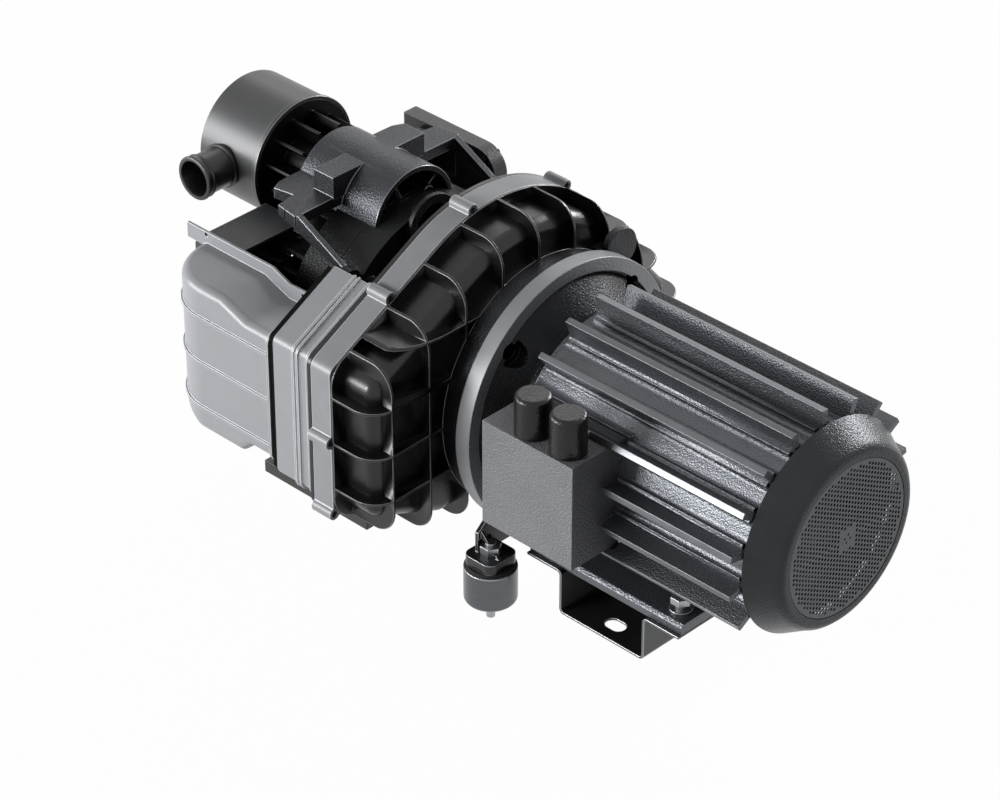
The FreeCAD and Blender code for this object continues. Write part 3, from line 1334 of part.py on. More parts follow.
def wrap_arc(quarter, shift, turn, centre):
    """A quarter turn of a wrap's side: an arc about one corner of the small square it unrolls from."""
    side = float(s.wrap_pitch) / 4
    corner_y, corner_z = [(-0.5, 0.5), (-0.5, -0.5), (0.5, -0.5), (0.5, 0.5)][quarter % 4]
    radius = side * (quarter + 0.5) + shift
    points = []
    for step in range(3):
        angle = math.radians(90 * quarter + 45 * step)
        y = side * corner_y + radius * math.cos(angle)
        z = side * corner_z + radius * math.sin(angle)
        points.append(V(0, centre[0] + y * turn, centre[1] + z * turn))
    return points


def wrap(thickness, quarters, start, end, turn, centre):
    """A scroll wall between two stations along the shaft; turn is 1, or -1 for half a turn round."""
    outer = [wrap_arc(quarter, thickness / 2, turn, centre) for quarter in quarters]
    inner = [wrap_arc(quarter, -thickness / 2, turn, centre) for quarter in quarters]
    edges = [Part.Arc(*points).toShape() for points in outer]
    edges.append(Part.makeLine(outer[-1][2], inner[-1][2]))
    edges.extend(Part.Arc(*points[::-1]).toShape() for points in reversed(inner))
    edges.append(Part.makeLine(inner[0][0], outer[0][0]))
    face = Part.Face(Part.Wire(edges))
    face.translate(V(float(start), 0, 0))
    return formed(face.extrude(V(float(end) - float(start), 0, 0)))


# Scroll set: two interleaved involute walls that never touch
wrap_thickness = float(s.wrap_pitch / 2 - s.orbit - s.flank_gap)
wall_quarters = range(2, 20)
seal_quarters = range(3, 19)
orbit_centre = (0.0, float(s.orbit))
shaft_centre = (0.0, 0.0)
fixed_tip = plate_back - s.tip_clearance
moving_tip = ring_end + s.tip_clearance
seal_width = float(s.seal_strip)
moving_wrap = wrap(wrap_thickness, wall_quarters, moving_tip, plate_back, 1, orbit_centre)
moving_seal = wrap(seal_width, seal_quarters, ring_end + s.seal_play, moving_tip, 1, orbit_centre)
fixed_wrap = wrap(wrap_thickness, wall_quarters, ring_end, fixed_tip, -1, shaft_centre)
fixed_seal = wrap(seal_width, seal_quarters, fixed_tip, plate_back - s.seal_play, -1, shaft_centre)
boss_radius = s.orbit_bearing_radius + s.boss_wall
boss_front = weight_back - 2
moving_centre = (0, s.orbit)
moving_plate = together(
    cylinder("X", s.plate_radius, plate_back, plate_front, moving_centre),
    cylinder("X", boss_radius, plate_front - 1, boss_front, moving_centre),
)
bearing_room = cylinder("X", s.orbit_bearing_radius, plate_front, boss_front + 1, moving_centre)
pin_room = s.crank_pin + s.journal_gap
plate_holes = []
for degrees in crank_angles:
    y, z = polar(s.crank_circle, degrees)
    plate_holes.append(cylinder("X", pin_room, plate_back + 2, plate_front + 1, (y, z + s.orbit)))
orbiting = cut(moving_plate, bearing_room, *plate_holes)
piece("orbiting_scroll", together(orbiting, moving_wrap))
piece("tip_seal_orbiting", moving_seal)
orbit_bore = s.pin_radius + s.journal_gap
orbit_bearing_front = pin_end + s.orbit_bearing_width
orbit_bearing = tube("X", s.orbit_bearing_radius, orbit_bore, pin_end, orbit_bearing_front, moving_centre)
piece("orbit_bearing", orbit_bearing)
fixed_ring = tube("X", s.case_radius, s.case_radius - s.ring_wall, ring_end - 1, case_end)
fixed_base = cylinder("X", s.case_radius, base_end, ring_end)
scroll_fins = []
fin_count = int(float(s.case_radius - 3) / float(s.scroll_fin_pitch))
fin_bounds = cylinder("X", s.case_radius - 3, fins_end, base_end + 1)
for number in range(-fin_count, fin_count + 1):
    z = s.scroll_fin_pitch * number
    half = s.scroll_fin_thickness / 2
    fin = block((fins_end - 1, base_end + 1), (-s.case_radius, s.case_radius), (z - half, z + half))
    scroll_fins.append(fin)
fin_field = shared(fin_bounds, together(*scroll_fins))
port_boss = cylinder("X", s.nipple_radius + 8, fins_end, base_end + 1)
port = cylinder("X", s.port_radius, fins_end - 1, ring_end + 1)
port_seat = cylinder("X", s.nipple_radius, fins_end - 1, fins_end + 12)
intake_x = (case_end + ring_end) / 2
intake_hole = cylinder("Z", s.intake_port, s.case_radius - s.ring_wall - 4, s.case_radius + 5, (intake_x, 0))
fixed_body = cut(together(fixed_ring, fixed_base, fin_field, port_boss), port, port_seat, intake_hole)
piece("fixed_scroll", together(fixed_body, fixed_wrap))
piece("tip_seal_fixed", fixed_seal)
nipple = together(
    cylinder("X", s.nipple_radius, fins_end - s.nipple_length, fins_end + 12),
    hexagon("X", s.nipple_radius + 5, fins_end - 12, fins_end, (0, 0)),
)
nipple_bore = cylinder("X", s.port_radius, fins_end - s.nipple_length - 1, fins_end + 13)
piece("discharge_nipple", cut(nipple, nipple_bore))

# Pin cranks: three small cranks that keep the orbiting scroll from turning
web_front = thrust_face + 2.6
web_back = thrust_face - 0.6
for number, degrees in enumerate(crank_angles, 1):
    at = polar(s.crank_circle, degrees)
    pin_at = (at[0], at[1] + s.orbit)
    pin_crank = together(
        cylinder("X", s.crank_journal, web_front - 1, bush_back + s.bush_length - 1, at),
        cylinder("X", s.crank_web, web_back, web_front, at),
        cylinder("X", s.crank_pin, plate_back + 2.5, web_back + 1, pin_at),
    )
    piece("pin_crank_%d" % number, pin_crank)
bushes = []
for degrees in crank_angles:
    at = polar(s.crank_circle, degrees)
    bushes.append(tube("X", bush_outer, journal_hole, bush_back, bush_back + s.bush_length, at))
piece("pin_crank_bushes", group(*bushes))

# Intake casting: a half pipe on the crankcase with a wing plate on each side
arch_front = thrust_face - 3
arch_back = arch_front - s.arch_length
arch_at = (0, s.arch_axis)
arch = tube("X", s.arch_radius, s.arch_radius - s.arch_wall, arch_back, arch_front, arch_at)
skirt = []
arch_foot = s.arch_axis - s.arch_side
for side in (-1, 1):
    y = sorted((s.arch_radius * side, (s.arch_radius - s.arch_wall) * side), key=float)
    skirt.append(block((arch_back, arch_front), y, (arch_foot, s.arch_axis)))
below = block((arch_back - 1, arch_front + 1), (-s.case_radius, s.case_radius), (0, s.arch_axis))
end_wall = cylinder("X", s.arch_radius - 1, arch_back, arch_back + s.arch_wall, arch_at)
floor_y = (-s.arch_radius + 1, s.arch_radius - 1)
floor_plate = block((arch_back, fins_end + 14), floor_y, (arch_foot, arch_foot + 4))
# A wing's outline: along the shaft, and out from the centre plane
wing_points = [
    (arch_back, -37), (arch_back + 1, -69), (arch_back + 6, -80), (arch_back + 27, -76),
    (arch_back + 30, -97), (arch_back + 55, -101), (arch_back + 57, -95), (arch_back + 56, -40),
]
wings = []
for side in (-1, 1):
    points = [(x, as_size(y) * -side) for x, y in wing_points]
    wings.append(padded("Z", points, s.wing_top - s.wing_thickness, s.wing_top))
    lug_y = sorted((as_size(13 * side), as_size(56 * side)), key=float)
    wings.append(block((arch_back + 32, arch_back + 57), lug_y, (s.wing_top - 2, s.wing_top + s.lug_rise)))
    y = s.case_ear_out * side
    gusset = padded("Y", [
        (arch_back + 57, s.wing_top),
        (ear_back, s.case_ear_up + 9),
        (ear_back, s.case_ear_up + 2),
        (arch_back + 40, s.wing_top - s.wing_thickness),
        (arch_back + 40, s.wing_top),
    ], y - 3, y + 3)
    wings.append(gusset)
arch_inside = cylinder("X", s.arch_radius - s.arch_wall, arch_back + s.arch_wall, arch_front + 1, arch_at)
bosses = []
boss_holes = []
for y, z in ((22, 111), (-6, 109)):
    lean = math.degrees(math.atan2(z - float(s.arch_axis), y))
    web_x = (arch_front - 40, arch_front - 8)
    bosses.append(cylinder("X", 6, arch_front - 40, arch_front - 4, (y, z)))
    bosses.append(radial_block(web_x, 4, (10, float(s.arch_radius) - 2), lean, arch_at))
    boss_holes.append(cylinder("X", 2.6, arch_front - 20, arch_front, (y, z)))
case_space = cylinder("X", s.case_radius, base_end, case_front + 10)
fin_space = cylinder("X", s.case_radius - 3 + s.part_gap, fins_end - 1, base_end + 1)
opening_back = arch_back + s.arch_wall + 1
intake_opening = cylinder("X", s.neck_radius - 8, arch_back - 1, opening_back, (0, s.filter_height))
wing_plates = cut(together(*wings), arch_inside)
top_shell = together(cut(arch, below), *skirt, end_wall, floor_plate, wing_plates, *bosses)
piece("top_intake_casting", cut(top_shell, case_space, fin_space, intake_opening, *boss_holes))

# Filter: a canister with a ribbed end plate, an element inside and a side inlet
filter_at = (0, s.filter_height)
plate_face = arch_back - s.neck_length
canister_back = plate_face - s.canister_length
canister_inner = s.canister_radius - s.canister_wall
canister_floor = canister_back + s.canister_wall
canister = tube("X", s.canister_radius, canister_inner, canister_floor, plate_face, filter_at)
canister_end = cylinder("X", s.canister_radius, canister_back, canister_floor, filter_at)
rim = tube("X", s.canister_radius + 1.5, canister_inner, plate_face - 5, plate_face, filter_at)
spigot_x = plate_face - s.spigot_back
spigot_hole = cylinder("Y", s.spigot_radius, -s.canister_radius - 10, 0, (spigot_x, s.filter_height))
piece("filter_canister", cut(together(canister, canister_end, rim), spigot_hole))
spigot_at = (spigot_x, s.filter_height)
spigot_inner = -s.element_outer
element = tube("X", s.element_outer, s.element_inner, canister_floor, plate_face - 4, filter_at)
inlet_space = cylinder("Y", s.spigot_radius, -s.canister_radius - 10, spigot_inner + 8, spigot_at)
piece("filter_element", cut(element, inlet_space))
spigot = together(
    cylinder("Y", s.spigot_radius, -s.spigot_reach, spigot_inner, spigot_at),
    cylinder("Y", s.spigot_radius + 2, -s.spigot_reach, -s.spigot_reach + 5, spigot_at),
)
inlet = cylinder("Y", s.spigot_bore, -s.spigot_reach - 1, spigot_inner + 1, spigot_at)
piece("filter_spigot", cut(spigot, inlet))
neck_bore = s.neck_radius - s.neck_wall
end_plate = tube("X", canister_inner, neck_bore, plate_face - 4, plate_face, filter_at)
neck = tube("X", s.neck_radius, neck_bore, plate_face - 1, arch_back, filter_at)
neck_ribs = []
rib_x = (plate_face - 1, arch_back - 6)
rib_reach = (s.neck_radius - 2, canister_inner - 10)
for number in range(12):
    neck_ribs.append(radial_block(rib_x, 3, rib_reach, number * 30 + 15, filter_at))
piece("filter_end_plate", together(end_plate, neck, *neck_ribs))

# Base rails and the legs that carry the crankcase
rail_top = -s.axis_height + s.rail_height
rail_back = -s.rail_front - s.rail_length
rails = []
legs = []
rail_inner = s.rail_out - s.rail_width
leg_x = (case_end + 2, case_front - 2)
for side in (-1, 1):
    y = sorted((s.rail_out * side, rail_inner * side), key=float)
    rails.append(block((rail_back, -s.rail_front), y, (-s.axis_height, rail_top)))
    legs.append(block(leg_x, y, (rail_top, -40)))
cross = block(leg_x, (-rail_inner, rail_inner), (rail_top, rail_top + 12))
feet = together(*legs, cross)
piece("base_rails", group(*rails))
piece("crankcase_feet", cut(feet, cylinder("X", s.case_radius, case_end, case_front + 1)))

doc.recompute()
for item in doc.Objects:
    if "Invalid" in item.State or "Error" in item.State:
        raise RuntimeError("%s failed: %s" % (item.Name, item.State))
for item in pieces:
    if item.Shape.isNull() or not item.Shape.isValid() or not item.Shape.Solids:
        raise RuntimeError("%s has no sound shape" % item.Label)
os.makedirs("parts", exist_ok=True)
for item in pieces:
    item.Shape.exportStep("parts/%s.step" % item.Label)
print("%d sub-parts written" % len(pieces))
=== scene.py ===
import bmesh
import bpy
import math
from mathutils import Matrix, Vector


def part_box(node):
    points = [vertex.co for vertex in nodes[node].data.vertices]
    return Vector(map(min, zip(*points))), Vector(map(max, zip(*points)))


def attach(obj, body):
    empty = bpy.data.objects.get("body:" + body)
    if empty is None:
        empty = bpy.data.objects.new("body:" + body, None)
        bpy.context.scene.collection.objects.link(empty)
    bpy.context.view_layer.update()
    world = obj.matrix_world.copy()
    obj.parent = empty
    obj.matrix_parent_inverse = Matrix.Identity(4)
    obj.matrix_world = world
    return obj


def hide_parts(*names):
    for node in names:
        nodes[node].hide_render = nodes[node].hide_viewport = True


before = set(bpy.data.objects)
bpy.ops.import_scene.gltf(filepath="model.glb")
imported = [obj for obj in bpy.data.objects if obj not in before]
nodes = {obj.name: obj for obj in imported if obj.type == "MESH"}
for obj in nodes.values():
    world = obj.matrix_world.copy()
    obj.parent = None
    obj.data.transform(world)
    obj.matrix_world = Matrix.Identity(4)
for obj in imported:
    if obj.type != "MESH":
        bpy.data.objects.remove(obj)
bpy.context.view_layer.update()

# Camera: stands level to the front left of the motor's fan end and looks down on the machine from
# a long way off, so lines along the shaft stay nearly parallel.
flange_centre = Vector((-0.011, 0, 0.157))
azimuth, elevation = math.radians(44.3), math.radians(33.6)
distance, shift_left, shift_down = 3.319, 0.0609, 0.0071
ahead, aside, up = math.sin(azimuth), math.cos(azimuth), math.sin(elevation)
outward = Vector((math.cos(elevation) * ahead, -math.cos(elevation) * aside, up))
sideways = (-outward).cross(Vector((0, 0, 1))).normalized()
upward = sideways.cross(-outward)
lens = bpy.data.cameras.new("camera")
lens.lens, lens.sensor_width, lens.clip_end = 138.6, 36, 20
camera = bpy.data.objects.new("camera", lens)
camera.location = flange_centre + outward * distance - sideways * shift_left - upward * shift_down
camera.rotation_euler = outward.to_track_quat("Z", "Y").to_euler()
bpy.context.scene.collection.objects.link(camera)
bpy.context.scene.camera = camera
bpy.context.scene.view_settings.view_transform = "Standard"


# Studio: a plain pale floor under the machine, white all round, a large soft lamp on the left, a
# small one beside it that draws the motor's shine, and two soft ones behind.
def colour(code):
    """Linear colour of an sRGB hex value."""
    parts = [int(code[i:i + 2], 16) / 255 for i in (1, 3, 5)]
    return [v / 12.92 if v <= 0.04045 else ((v + 0.055) / 1.055) ** 2.4 for v in parts] + [1]


def add(tree, kind, inputs=None, **settings):
    """Adds a node with its settings. An input is a value, an output, or a node with one to take."""
    node = tree.nodes.new(kind)
    for name, value in settings.items():
        setattr(node, name, value)
    for socket, value in (inputs or {}).items():
        if isinstance(value, bpy.types.Node):
            value = value.outputs[0]
        if isinstance(value, bpy.types.NodeSocket):
            tree.links.new(value, node.inputs[socket])
        else:
            node.inputs[socket].default_value = value
    return node


def seen_directly(tree):
    """1 for rays from the camera, a mirror or glass, which then meet plain white."""
    path = add(tree, "ShaderNodeLightPath").outputs
    seen = {0: path["Is Camera Ray"], 1: path["Is Glossy Ray"]}
    mirrored = add(tree, "ShaderNodeMath", seen, operation="MAXIMUM")
    clear = {0: mirrored, 1: path["Is Transmission Ray"]}
    return add(tree, "ShaderNodeMath", clear, operation="MAXIMUM")


surroundings = bpy.data.worlds.new("studio")
bpy.context.scene.world = surroundings
surroundings.use_nodes = True
sky = surroundings.node_tree
sky.nodes.clear()
white = add(sky, "ShaderNodeBackground", {"Color": colour("#ffffff"), "Strength": 1.0})
fill = add(sky, "ShaderNodeBackground", {"Color": colour("#ffffff"), "Strength": 0.10})
both = add(sky, "ShaderNodeMixShader", {0: seen_directly(sky), 1: fill, 2: white})
add(sky, "ShaderNodeOutputWorld", {"Surface": both})

# A matt pale floor that glows almost white where the camera sees it, so only a faint shadow is left.
floor_paint = bpy.data.materials.new("studio_floor")
floor_paint.use_nodes = True
ground = floor_paint.node_tree
ground.nodes.clear()
matt = add(ground, "ShaderNodeBsdfDiffuse", {"Color": colour("#b9b9b9")})
glow = add(ground, "ShaderNodeEmission", {"Color": colour("#ffffff"), "Strength": 1.0})
share = add(ground, "ShaderNodeMath", {0: seen_directly(ground), 1: 0.98}, operation="MULTIPLY")
mixed = add(ground, "ShaderNodeMixShader", {0: share, 1: matt, 2: glow})
add(ground, "ShaderNodeOutputMaterial", {"Surface": mixed})
floor_reach, floor_level = 9, -0.019
floor_quarters = ((-1, -1), (1, -1), (1, 1), (-1, 1))
floor_corners = [(x * floor_reach, y * floor_reach, floor_level) for x, y in floor_quarters]
floor_mesh = bpy.data.meshes.new("floor")
floor_mesh.from_pydata(floor_corners, [], [(0, 1, 2, 3)])
floor_mesh.materials.append(floor_paint)
floor = bpy.data.objects.new("floor", floor_mesh)
bpy.context.scene.collection.objects.link(floor)

for name, place, width, height, power in (("lamp_left", (-2.15, -1.85, 0.66), 1.6, 1.2, 60),
                                          ("lamp_low", (-0.98, -2.37, 0.75), 0.8, 0.7, 54),
                                          ("lamp_far_left", (-1.66, 1.71, 1.82), 1.2, 1.2, 7),
                                          ("lamp_behind", (-0.01, 2.50, 1.25), 1.3, 0.8, 82)):
    glowing = bpy.data.lights.new(name, "AREA")
    glowing.shape, glowing.size, glowing.size_y, glowing.energy = "RECTANGLE", width, height, power
    lamp = bpy.data.objects.new(name, glowing)
    lamp.location = place
    lamp.rotation_euler = (Vector(place) - flange_centre).to_track_quat("Z", "Y").to_euler()
    bpy.context.scene.collection.objects.link(lamp)


# Drive-end shield: cast aluminium with the round motor flange, sprayed with black structure paint
# and then turned clean round the flange's rim. The motor frame is bolted to its rear.
def finish(name):
    """An empty material and its shader."""
    material = bpy.data.materials.new(name)
    material.use_nodes = True
    tree = material.node_tree
    tree.nodes.clear()
    shader = add(tree, "ShaderNodeBsdfPrincipled")
    add(tree, "ShaderNodeOutputMaterial", {"Surface": shader})
    return material, tree, shader


def structure_paint(name, base, light, roughness, grain_mm, depth_mm, specular=0.3, metallic=0.0):
    """Structure paint on a casting: a leathery skin whose bumps catch the light one by one. Its
    grain is drawn as coarse as it needs to be to show."""
    material, tree, shader = finish(name)
    where = add(tree, "ShaderNodeTexCoord").outputs["Object"]
    # Waves a little longer than a grain push the grains out of line.
    drift = add(tree, "ShaderNodeTexNoise", {"Vector": where, "Scale": 700 / grain_mm, "Detail": 2})
    push = {0: drift.outputs["Color"], "Scale": grain_mm * 0.0006}
    shift = add(tree, "ShaderNodeVectorMath", push, operation="SCALE")
    moved = add(tree, "ShaderNodeVectorMath", {0: where, 1: shift}, operation="ADD")
    grains = {"Vector": moved, "Scale": 1000 / grain_mm, "Smoothness": 0.7}
    skin = add(tree, "ShaderNodeTexVoronoi", grains, feature="SMOOTH_F1")
    # Pores less than half a grain wide roughen each bump.
    fine = add(tree, "ShaderNodeTexNoise", {"Vector": where, "Scale": 2400 / grain_mm, "Detail": 3})
    pores = {0: fine.outputs["Fac"], 1: 0.35, 2: skin.outputs["Distance"]}
    height = add(tree, "ShaderNodeMath", pores, operation="MULTIPLY_ADD")
    relief = {"Strength": 0.85, "Distance": depth_mm / 1000, "Height": height}
    bump = add(tree, "ShaderNodeBump", relief, invert=True)
    # Clouds of some 36 mm keep a large face from looking dead flat.
    cloud = add(tree, "ShaderNodeTexNoise", {"Vector": where, "Scale": 28, "Detail": 3})
    shades = {0: cloud.outputs["Fac"], 6: colour(base), 7: colour(light)}
    tone = add(tree, "ShaderNodeMix", shades, data_type="RGBA")
    spread = {0: fine.outputs["Fac"], 3: roughness - 0.06, 4: roughness + 0.08}
    gloss = add(tree, "ShaderNodeMapRange", spread)
    tree.links.new(tone.outputs[2], shader.inputs["Base Color"])
    tree.links.new(gloss.outputs[0], shader.inputs["Roughness"])
    tree.links.new(bump.outputs[0], shader.inputs["Normal"])
    shader.inputs["Specular IOR Level"].default_value = specular
    shader.inputs["Metallic"].default_value = metallic
    return material


def satin(name, base, light, roughness, metallic=0.0, specular=0.5, streak=None):
    """A smooth satin finish with faint clouds of some 17 mm. A streak of 40 along one axis squeezes
    them to lathe lines 0.4 mm apart, about as fine as can show."""
    material, tree, shader = finish(name)
    where = add(tree, "ShaderNodeTexCoord").outputs["Object"]
    if streak:
        where = add(tree, "ShaderNodeMapping", {"Vector": where, "Scale": streak})
    grain = add(tree, "ShaderNodeTexNoise", {"Vector": where, "Scale": 60, "Detail": 2})
    shades = {0: grain.outputs["Fac"], 6: colour(base), 7: colour(light)}
    tone = add(tree, "ShaderNodeMix", shades, data_type="RGBA")
    spread = {0: grain.outputs["Fac"], 3: roughness - 0.03, 4: roughness + 0.03}
    gloss = add(tree, "ShaderNodeMapRange", spread)
    relief = {"Strength": 0.04, "Distance": 0.00005, "Height": grain.outputs["Fac"]}
    bump = add(tree, "ShaderNodeBump", relief)
    tree.links.new(tone.outputs[2], shader.inputs["Base Color"])
    tree.links.new(gloss.outputs[0], shader.inputs["Roughness"])
    tree.links.new(bump.outputs[0], shader.inputs["Normal"])
    shader.inputs["Metallic"].default_value = metallic
    shader.inputs["Specular IOR Level"].default_value = specular
    return material


weld_distance = 2e-6
flat_within = math.radians(0.6)


def eased(node, name, body, finishes, radius_mm=0.7, edge=None, sharp=28, inner=True):
    """A copy of a CAD piece with its edges eased by a small radius; edge is the finish number on
    them. Inner corners stay as cast where inner is off."""
    mesh = nodes[node].data.copy()
    made = bpy.data.objects.new(name, mesh)
    bpy.context.scene.collection.objects.link(made)
    work = bmesh.new()
    mesh.shade_smooth()
    work.from_mesh(mesh)
    bmesh.ops.remove_doubles(work, verts=work.verts, dist=weld_distance)
    bmesh.ops.dissolve_limit(work, angle_limit=flat_within, verts=work.verts, edges=work.edges)
    eases = work.edges.layers.float.new("bevel_weight_edge")
    for crease in work.edges:
        bend = crease.calc_face_angle_signed(0)
        if bend > math.radians(sharp) or inner and bend < -math.radians(sharp):
            crease[eases] = 1
        elif bend < -math.radians(sharp):
            crease.smooth = False
    work.to_mesh(mesh)
    work.free()
    mesh.materials.clear()
    for material in finishes:
        mesh.materials.append(material)
    rounding = made.modifiers.new("rounding", "BEVEL")
    rounding.width, rounding.segments, rounding.limit_method = radius_mm / 1000, 2, "WEIGHT"
    rounding.use_clamp_overlap = False
    rounding.miter_outer = "MITER_ARC"
    rounding.material = -1 if edge is None else edge
    weights = made.modifiers.new("weights", "WEIGHTED_NORMAL")
    weights.mode, weights.weight, weights.keep_sharp = "FACE_AREA", 50, not inner
    shown = made.evaluated_get(bpy.context.evaluated_depsgraph_get())
    final = bpy.data.meshes.new_from_object(shown)
    made.modifiers.clear()
    made.data = final
    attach(made, body)
    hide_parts(node)
    return made


def refaced(made, number, test):
    """Gives the faces whose corners all pass a test another finish."""
    for face in made.data.polygons:
        if all(test(made.data.vertices[corner].co, face.normal) for corner in face.vertices):
            face.material_index = number


axis_height = 0.157


def off_axis(point):
    """Distance of a point from the shaft's axis."""
    return math.hypot(point.y, point.z - axis_height)


# Black structure paint gives small hard glints on a near black. The flange's face is painted greyer
# as painted light where light grazes it, the recess is painted darker as painted shade, and the
# turned rim shows as a smooth light band with fine lines round it.
cast_paint = structure_paint("structure_painted_aluminium", "#2b2c2e", "#38393b", 0.31, 1.7, 0.42, 0.3, 0.8)
turned_rim = satin("turned_painted_rim", "#77797c", "#86888b", 0.42, 0.35, streak=(40, 1, 1))
flange_paint = structure_paint("flange_face_painted_light", "#85878b", "#97999d", 0.4, 1.5, 0.42, 0.3, 0.5)
recess_paint = structure_paint("shadowed_recess_paint", "#151617", "#1d1e20", 0.27, 1.5, 0.46, 0.3, 0.8)
shield_finishes = [recess_paint, turned_rim, flange_paint]
shield = eased("drive_end_shield", "motor_flange", "housing", shield_finishes, 0.8)
face_inner, face_front = 0.1115, -0.0118
rim_inner, rim_slope = 0.1235, 0.8
# The flange's face takes the paint with painted light; all else inside the rim keeps the darker recess
# paint, which is painted shade.
refaced(shield, 2, lambda at, normal: off_axis(at) > face_inner and at.x > face_front)
refaced(shield, 1, lambda at, normal: off_axis(at) > rim_inner and abs(normal.x) < rim_slope)


# Motor frame: a cast aluminium barrel with long fins, a pad for the terminal box and the foot
# plate, all in one casting under the same paint. The fins' tips are linished smooth.
# The grained paint breaks the lamps up into specks, and the linished tips run as plain soft lines.
frame_paint = structure_paint("structure_painted_frame", "#595b5f", "#696b6f", 0.37, 1.5, 0.42, 0.3, 0.9)
linished = satin("linished_fin_tips", "#5c5e61", "#6a6c6f", 0.36, 0.8)
frame_finishes = [frame_paint, linished]
motor_frame = eased("motor_frame", "finned_motor_frame", "housing",
                    frame_finishes, 0.6, inner=False)
tip_inner, tip_slope, foot_top = 0.1113, 0.5, 0.06
refaced(motor_frame, 1, lambda at, normal:
        at.z > foot_top and off_axis(at) > tip_inner and abs(normal.x) < tip_slope)
eased("rear_end_shield", "rear_bearing_shield", "housing", [frame_paint], 0.6)


# Fan cowl: drawn sheet steel over the motor's fan, painted with the frame. Four lugs inside hold
# it to the rear shield. Outside its paint glints; inside, painted shade makes it as good as black.
cowl_inside = satin("painted_shade_cowl_inside", "#070708", "#0b0b0c", 0.6, specular=0.1)
cowl_paint = structure_paint("structure_painted_cowl", "#2b2d2f", "#393b3e", 0.29, 1.5, 0.36, 0.3, 0.8)
cowl = eased("fan_cowl", "drawn_fan_cowl", "housing", [cowl_paint, cowl_inside], 0.5)
turned_in = -0.02
# Faces that turn in towards the axis take the near black of painted shade.
refaced(cowl, 1, lambda at, normal:
        normal.y * at.y + normal.z * (at.z - axis_height) < turned_in * off_axis(at))


# Grille: a punched steel disc behind the cowl's open end. The holes are 3 mm on a 4.5 mm stagger,
# with a wider land across the middle and a plain square with four small screw holes. Its smooth
# grey paint stays matt, so the holes show as clean dots.
grille_sheet = satin("painted_punched_steel", "#55575a", "#626468", 0.42, 0.3)
punch = bpy.data.node_groups.new("punched_disc", "GeometryNodeTree")
for label, value in (("Radius", 0.0718), ("Field", 0.0695), ("Hole", 0.00148), ("Pitch", 0.0045),
                     ("Land", 0.0009), ("Patch", 0.0102), ("Thickness", 0.0012), ("Face", 0.3)):
    socket = punch.interface.new_socket(label, in_out="INPUT", socket_type="NodeSocketFloat")
    socket.default_value = value
punch.interface.new_socket("Mesh", in_out="OUTPUT", socket_type="NodeSocketGeometry")
given = add(punch, "NodeGroupInput").outputs

# Two lattices of points, the second half a step on, give the stagger.
columns, rows = 20, 34
column_step = add(punch, "ShaderNodeMath", {0: given["Pitch"], 1: math.sqrt(3)}, operation="MULTIPLY")
full_width = add(punch, "ShaderNodeMath", {0: column_step, 1: columns}, operation="MULTIPLY")
full_height = add(punch, "ShaderNodeMath", {0: given["Pitch"], 1: rows}, operation="MULTIPLY")
field = add(punch, "GeometryNodeJoinGeometry")
lattice_size = {"Size X": full_width, "Size Y": full_height,
                "Vertices X": columns + 1, "Vertices Y": rows + 1}
lattices = []
for shift in (0, 0.5):
    lattice = add(punch, "GeometryNodeMeshGrid", lattice_size)
    across = add(punch, "ShaderNodeMath", {0: column_step, 1: shift}, operation="MULTIPLY")
    along = add(punch, "ShaderNodeMath", {0: given["Pitch"], 1: shift}, operation="MULTIPLY")
    offset = add(punch, "ShaderNodeCombineXYZ", {0: across, 1: along})
    lattices.append(add(punch, "GeometryNodeTransform", {"Geometry": lattice, "Translation": offset}))
for lattice in lattices:
    punch.links.new(lattice.outputs[0], field.inputs[0])

# The halves move apart by the land, and points past the field's edge or in the square go.
spot = add(punch, "GeometryNodeInputPosition").outputs[0]
split = add(punch, "ShaderNodeSeparateXYZ", {0: spot}).outputs
half = add(punch, "ShaderNodeMath", {0: split[1]}, operation="SIGN")
half_land = add(punch, "ShaderNodeMath", {0: given["Land"], 1: 0.5}, operation="MULTIPLY")
move = add(punch, "ShaderNodeMath", {0: half, 1: half_land}, operation="MULTIPLY")
apart = add(punch, "ShaderNodeCombineXYZ", {1: move})
parted = add(punch, "GeometryNodeSetPosition", {"Geometry": field, "Offset": apart})
away = add(punch, "ShaderNodeVectorMath", {0: spot}, operation="LENGTH").outputs["Value"]
last_hole = add(punch, "ShaderNodeMath", {0: given["Field"], 1: given["Hole"]}, operation="SUBTRACT")
too_far = add(punch, "ShaderNodeMath", {0: away, 1: last_hole}, operation="GREATER_THAN")
within = {}
for way in (0, 1):
    from_middle = add(punch, "ShaderNodeMath", {0: split[way]}, operation="ABSOLUTE")
    within[way] = add(punch, "ShaderNodeMath", {0: from_middle, 1: given["Patch"]}, operation="LESS_THAN")
in_square = add(punch, "ShaderNodeMath", within, operation="MULTIPLY")
unpunched = add(punch, "ShaderNodeMath", {0: too_far, 1: in_square}, operation="MAXIMUM")
kept = add(punch, "GeometryNodeDeleteGeometry", {"Geometry": parted, "Selection": unpunched})

# Four smaller screw holes stand askew in the square.
screw_spacing, screw_turn, screw_share = 0.0052, math.radians(27), 0.75
hole_corners, disc_corners = 10, 96
four_size = {"Size X": screw_spacing, "Size Y": screw_spacing, "Vertices X": 2, "Vertices Y": 2}
four = add(punch, "GeometryNodeMeshGrid", four_size)
four_turned = add(punch, "GeometryNodeTransform", {"Geometry": four, "Rotation": (0, 0, screw_turn)})
hole_size = {"Resolution": hole_corners, "Radius": given["Hole"]}
hole_edge = add(punch, "GeometryNodeCurvePrimitiveCircle", hole_size)
screw_hole = add(punch, "ShaderNodeMath", {0: given["Hole"], 1: screw_share}, operation="MULTIPLY")
screw_size = {"Resolution": hole_corners, "Radius": screw_hole}
screw_edge = add(punch, "GeometryNodeCurvePrimitiveCircle", screw_size)
disc_size = {"Resolution": disc_corners, "Radius": given["Radius"]}
disc_edge = add(punch, "GeometryNodeCurvePrimitiveCircle", disc_size)
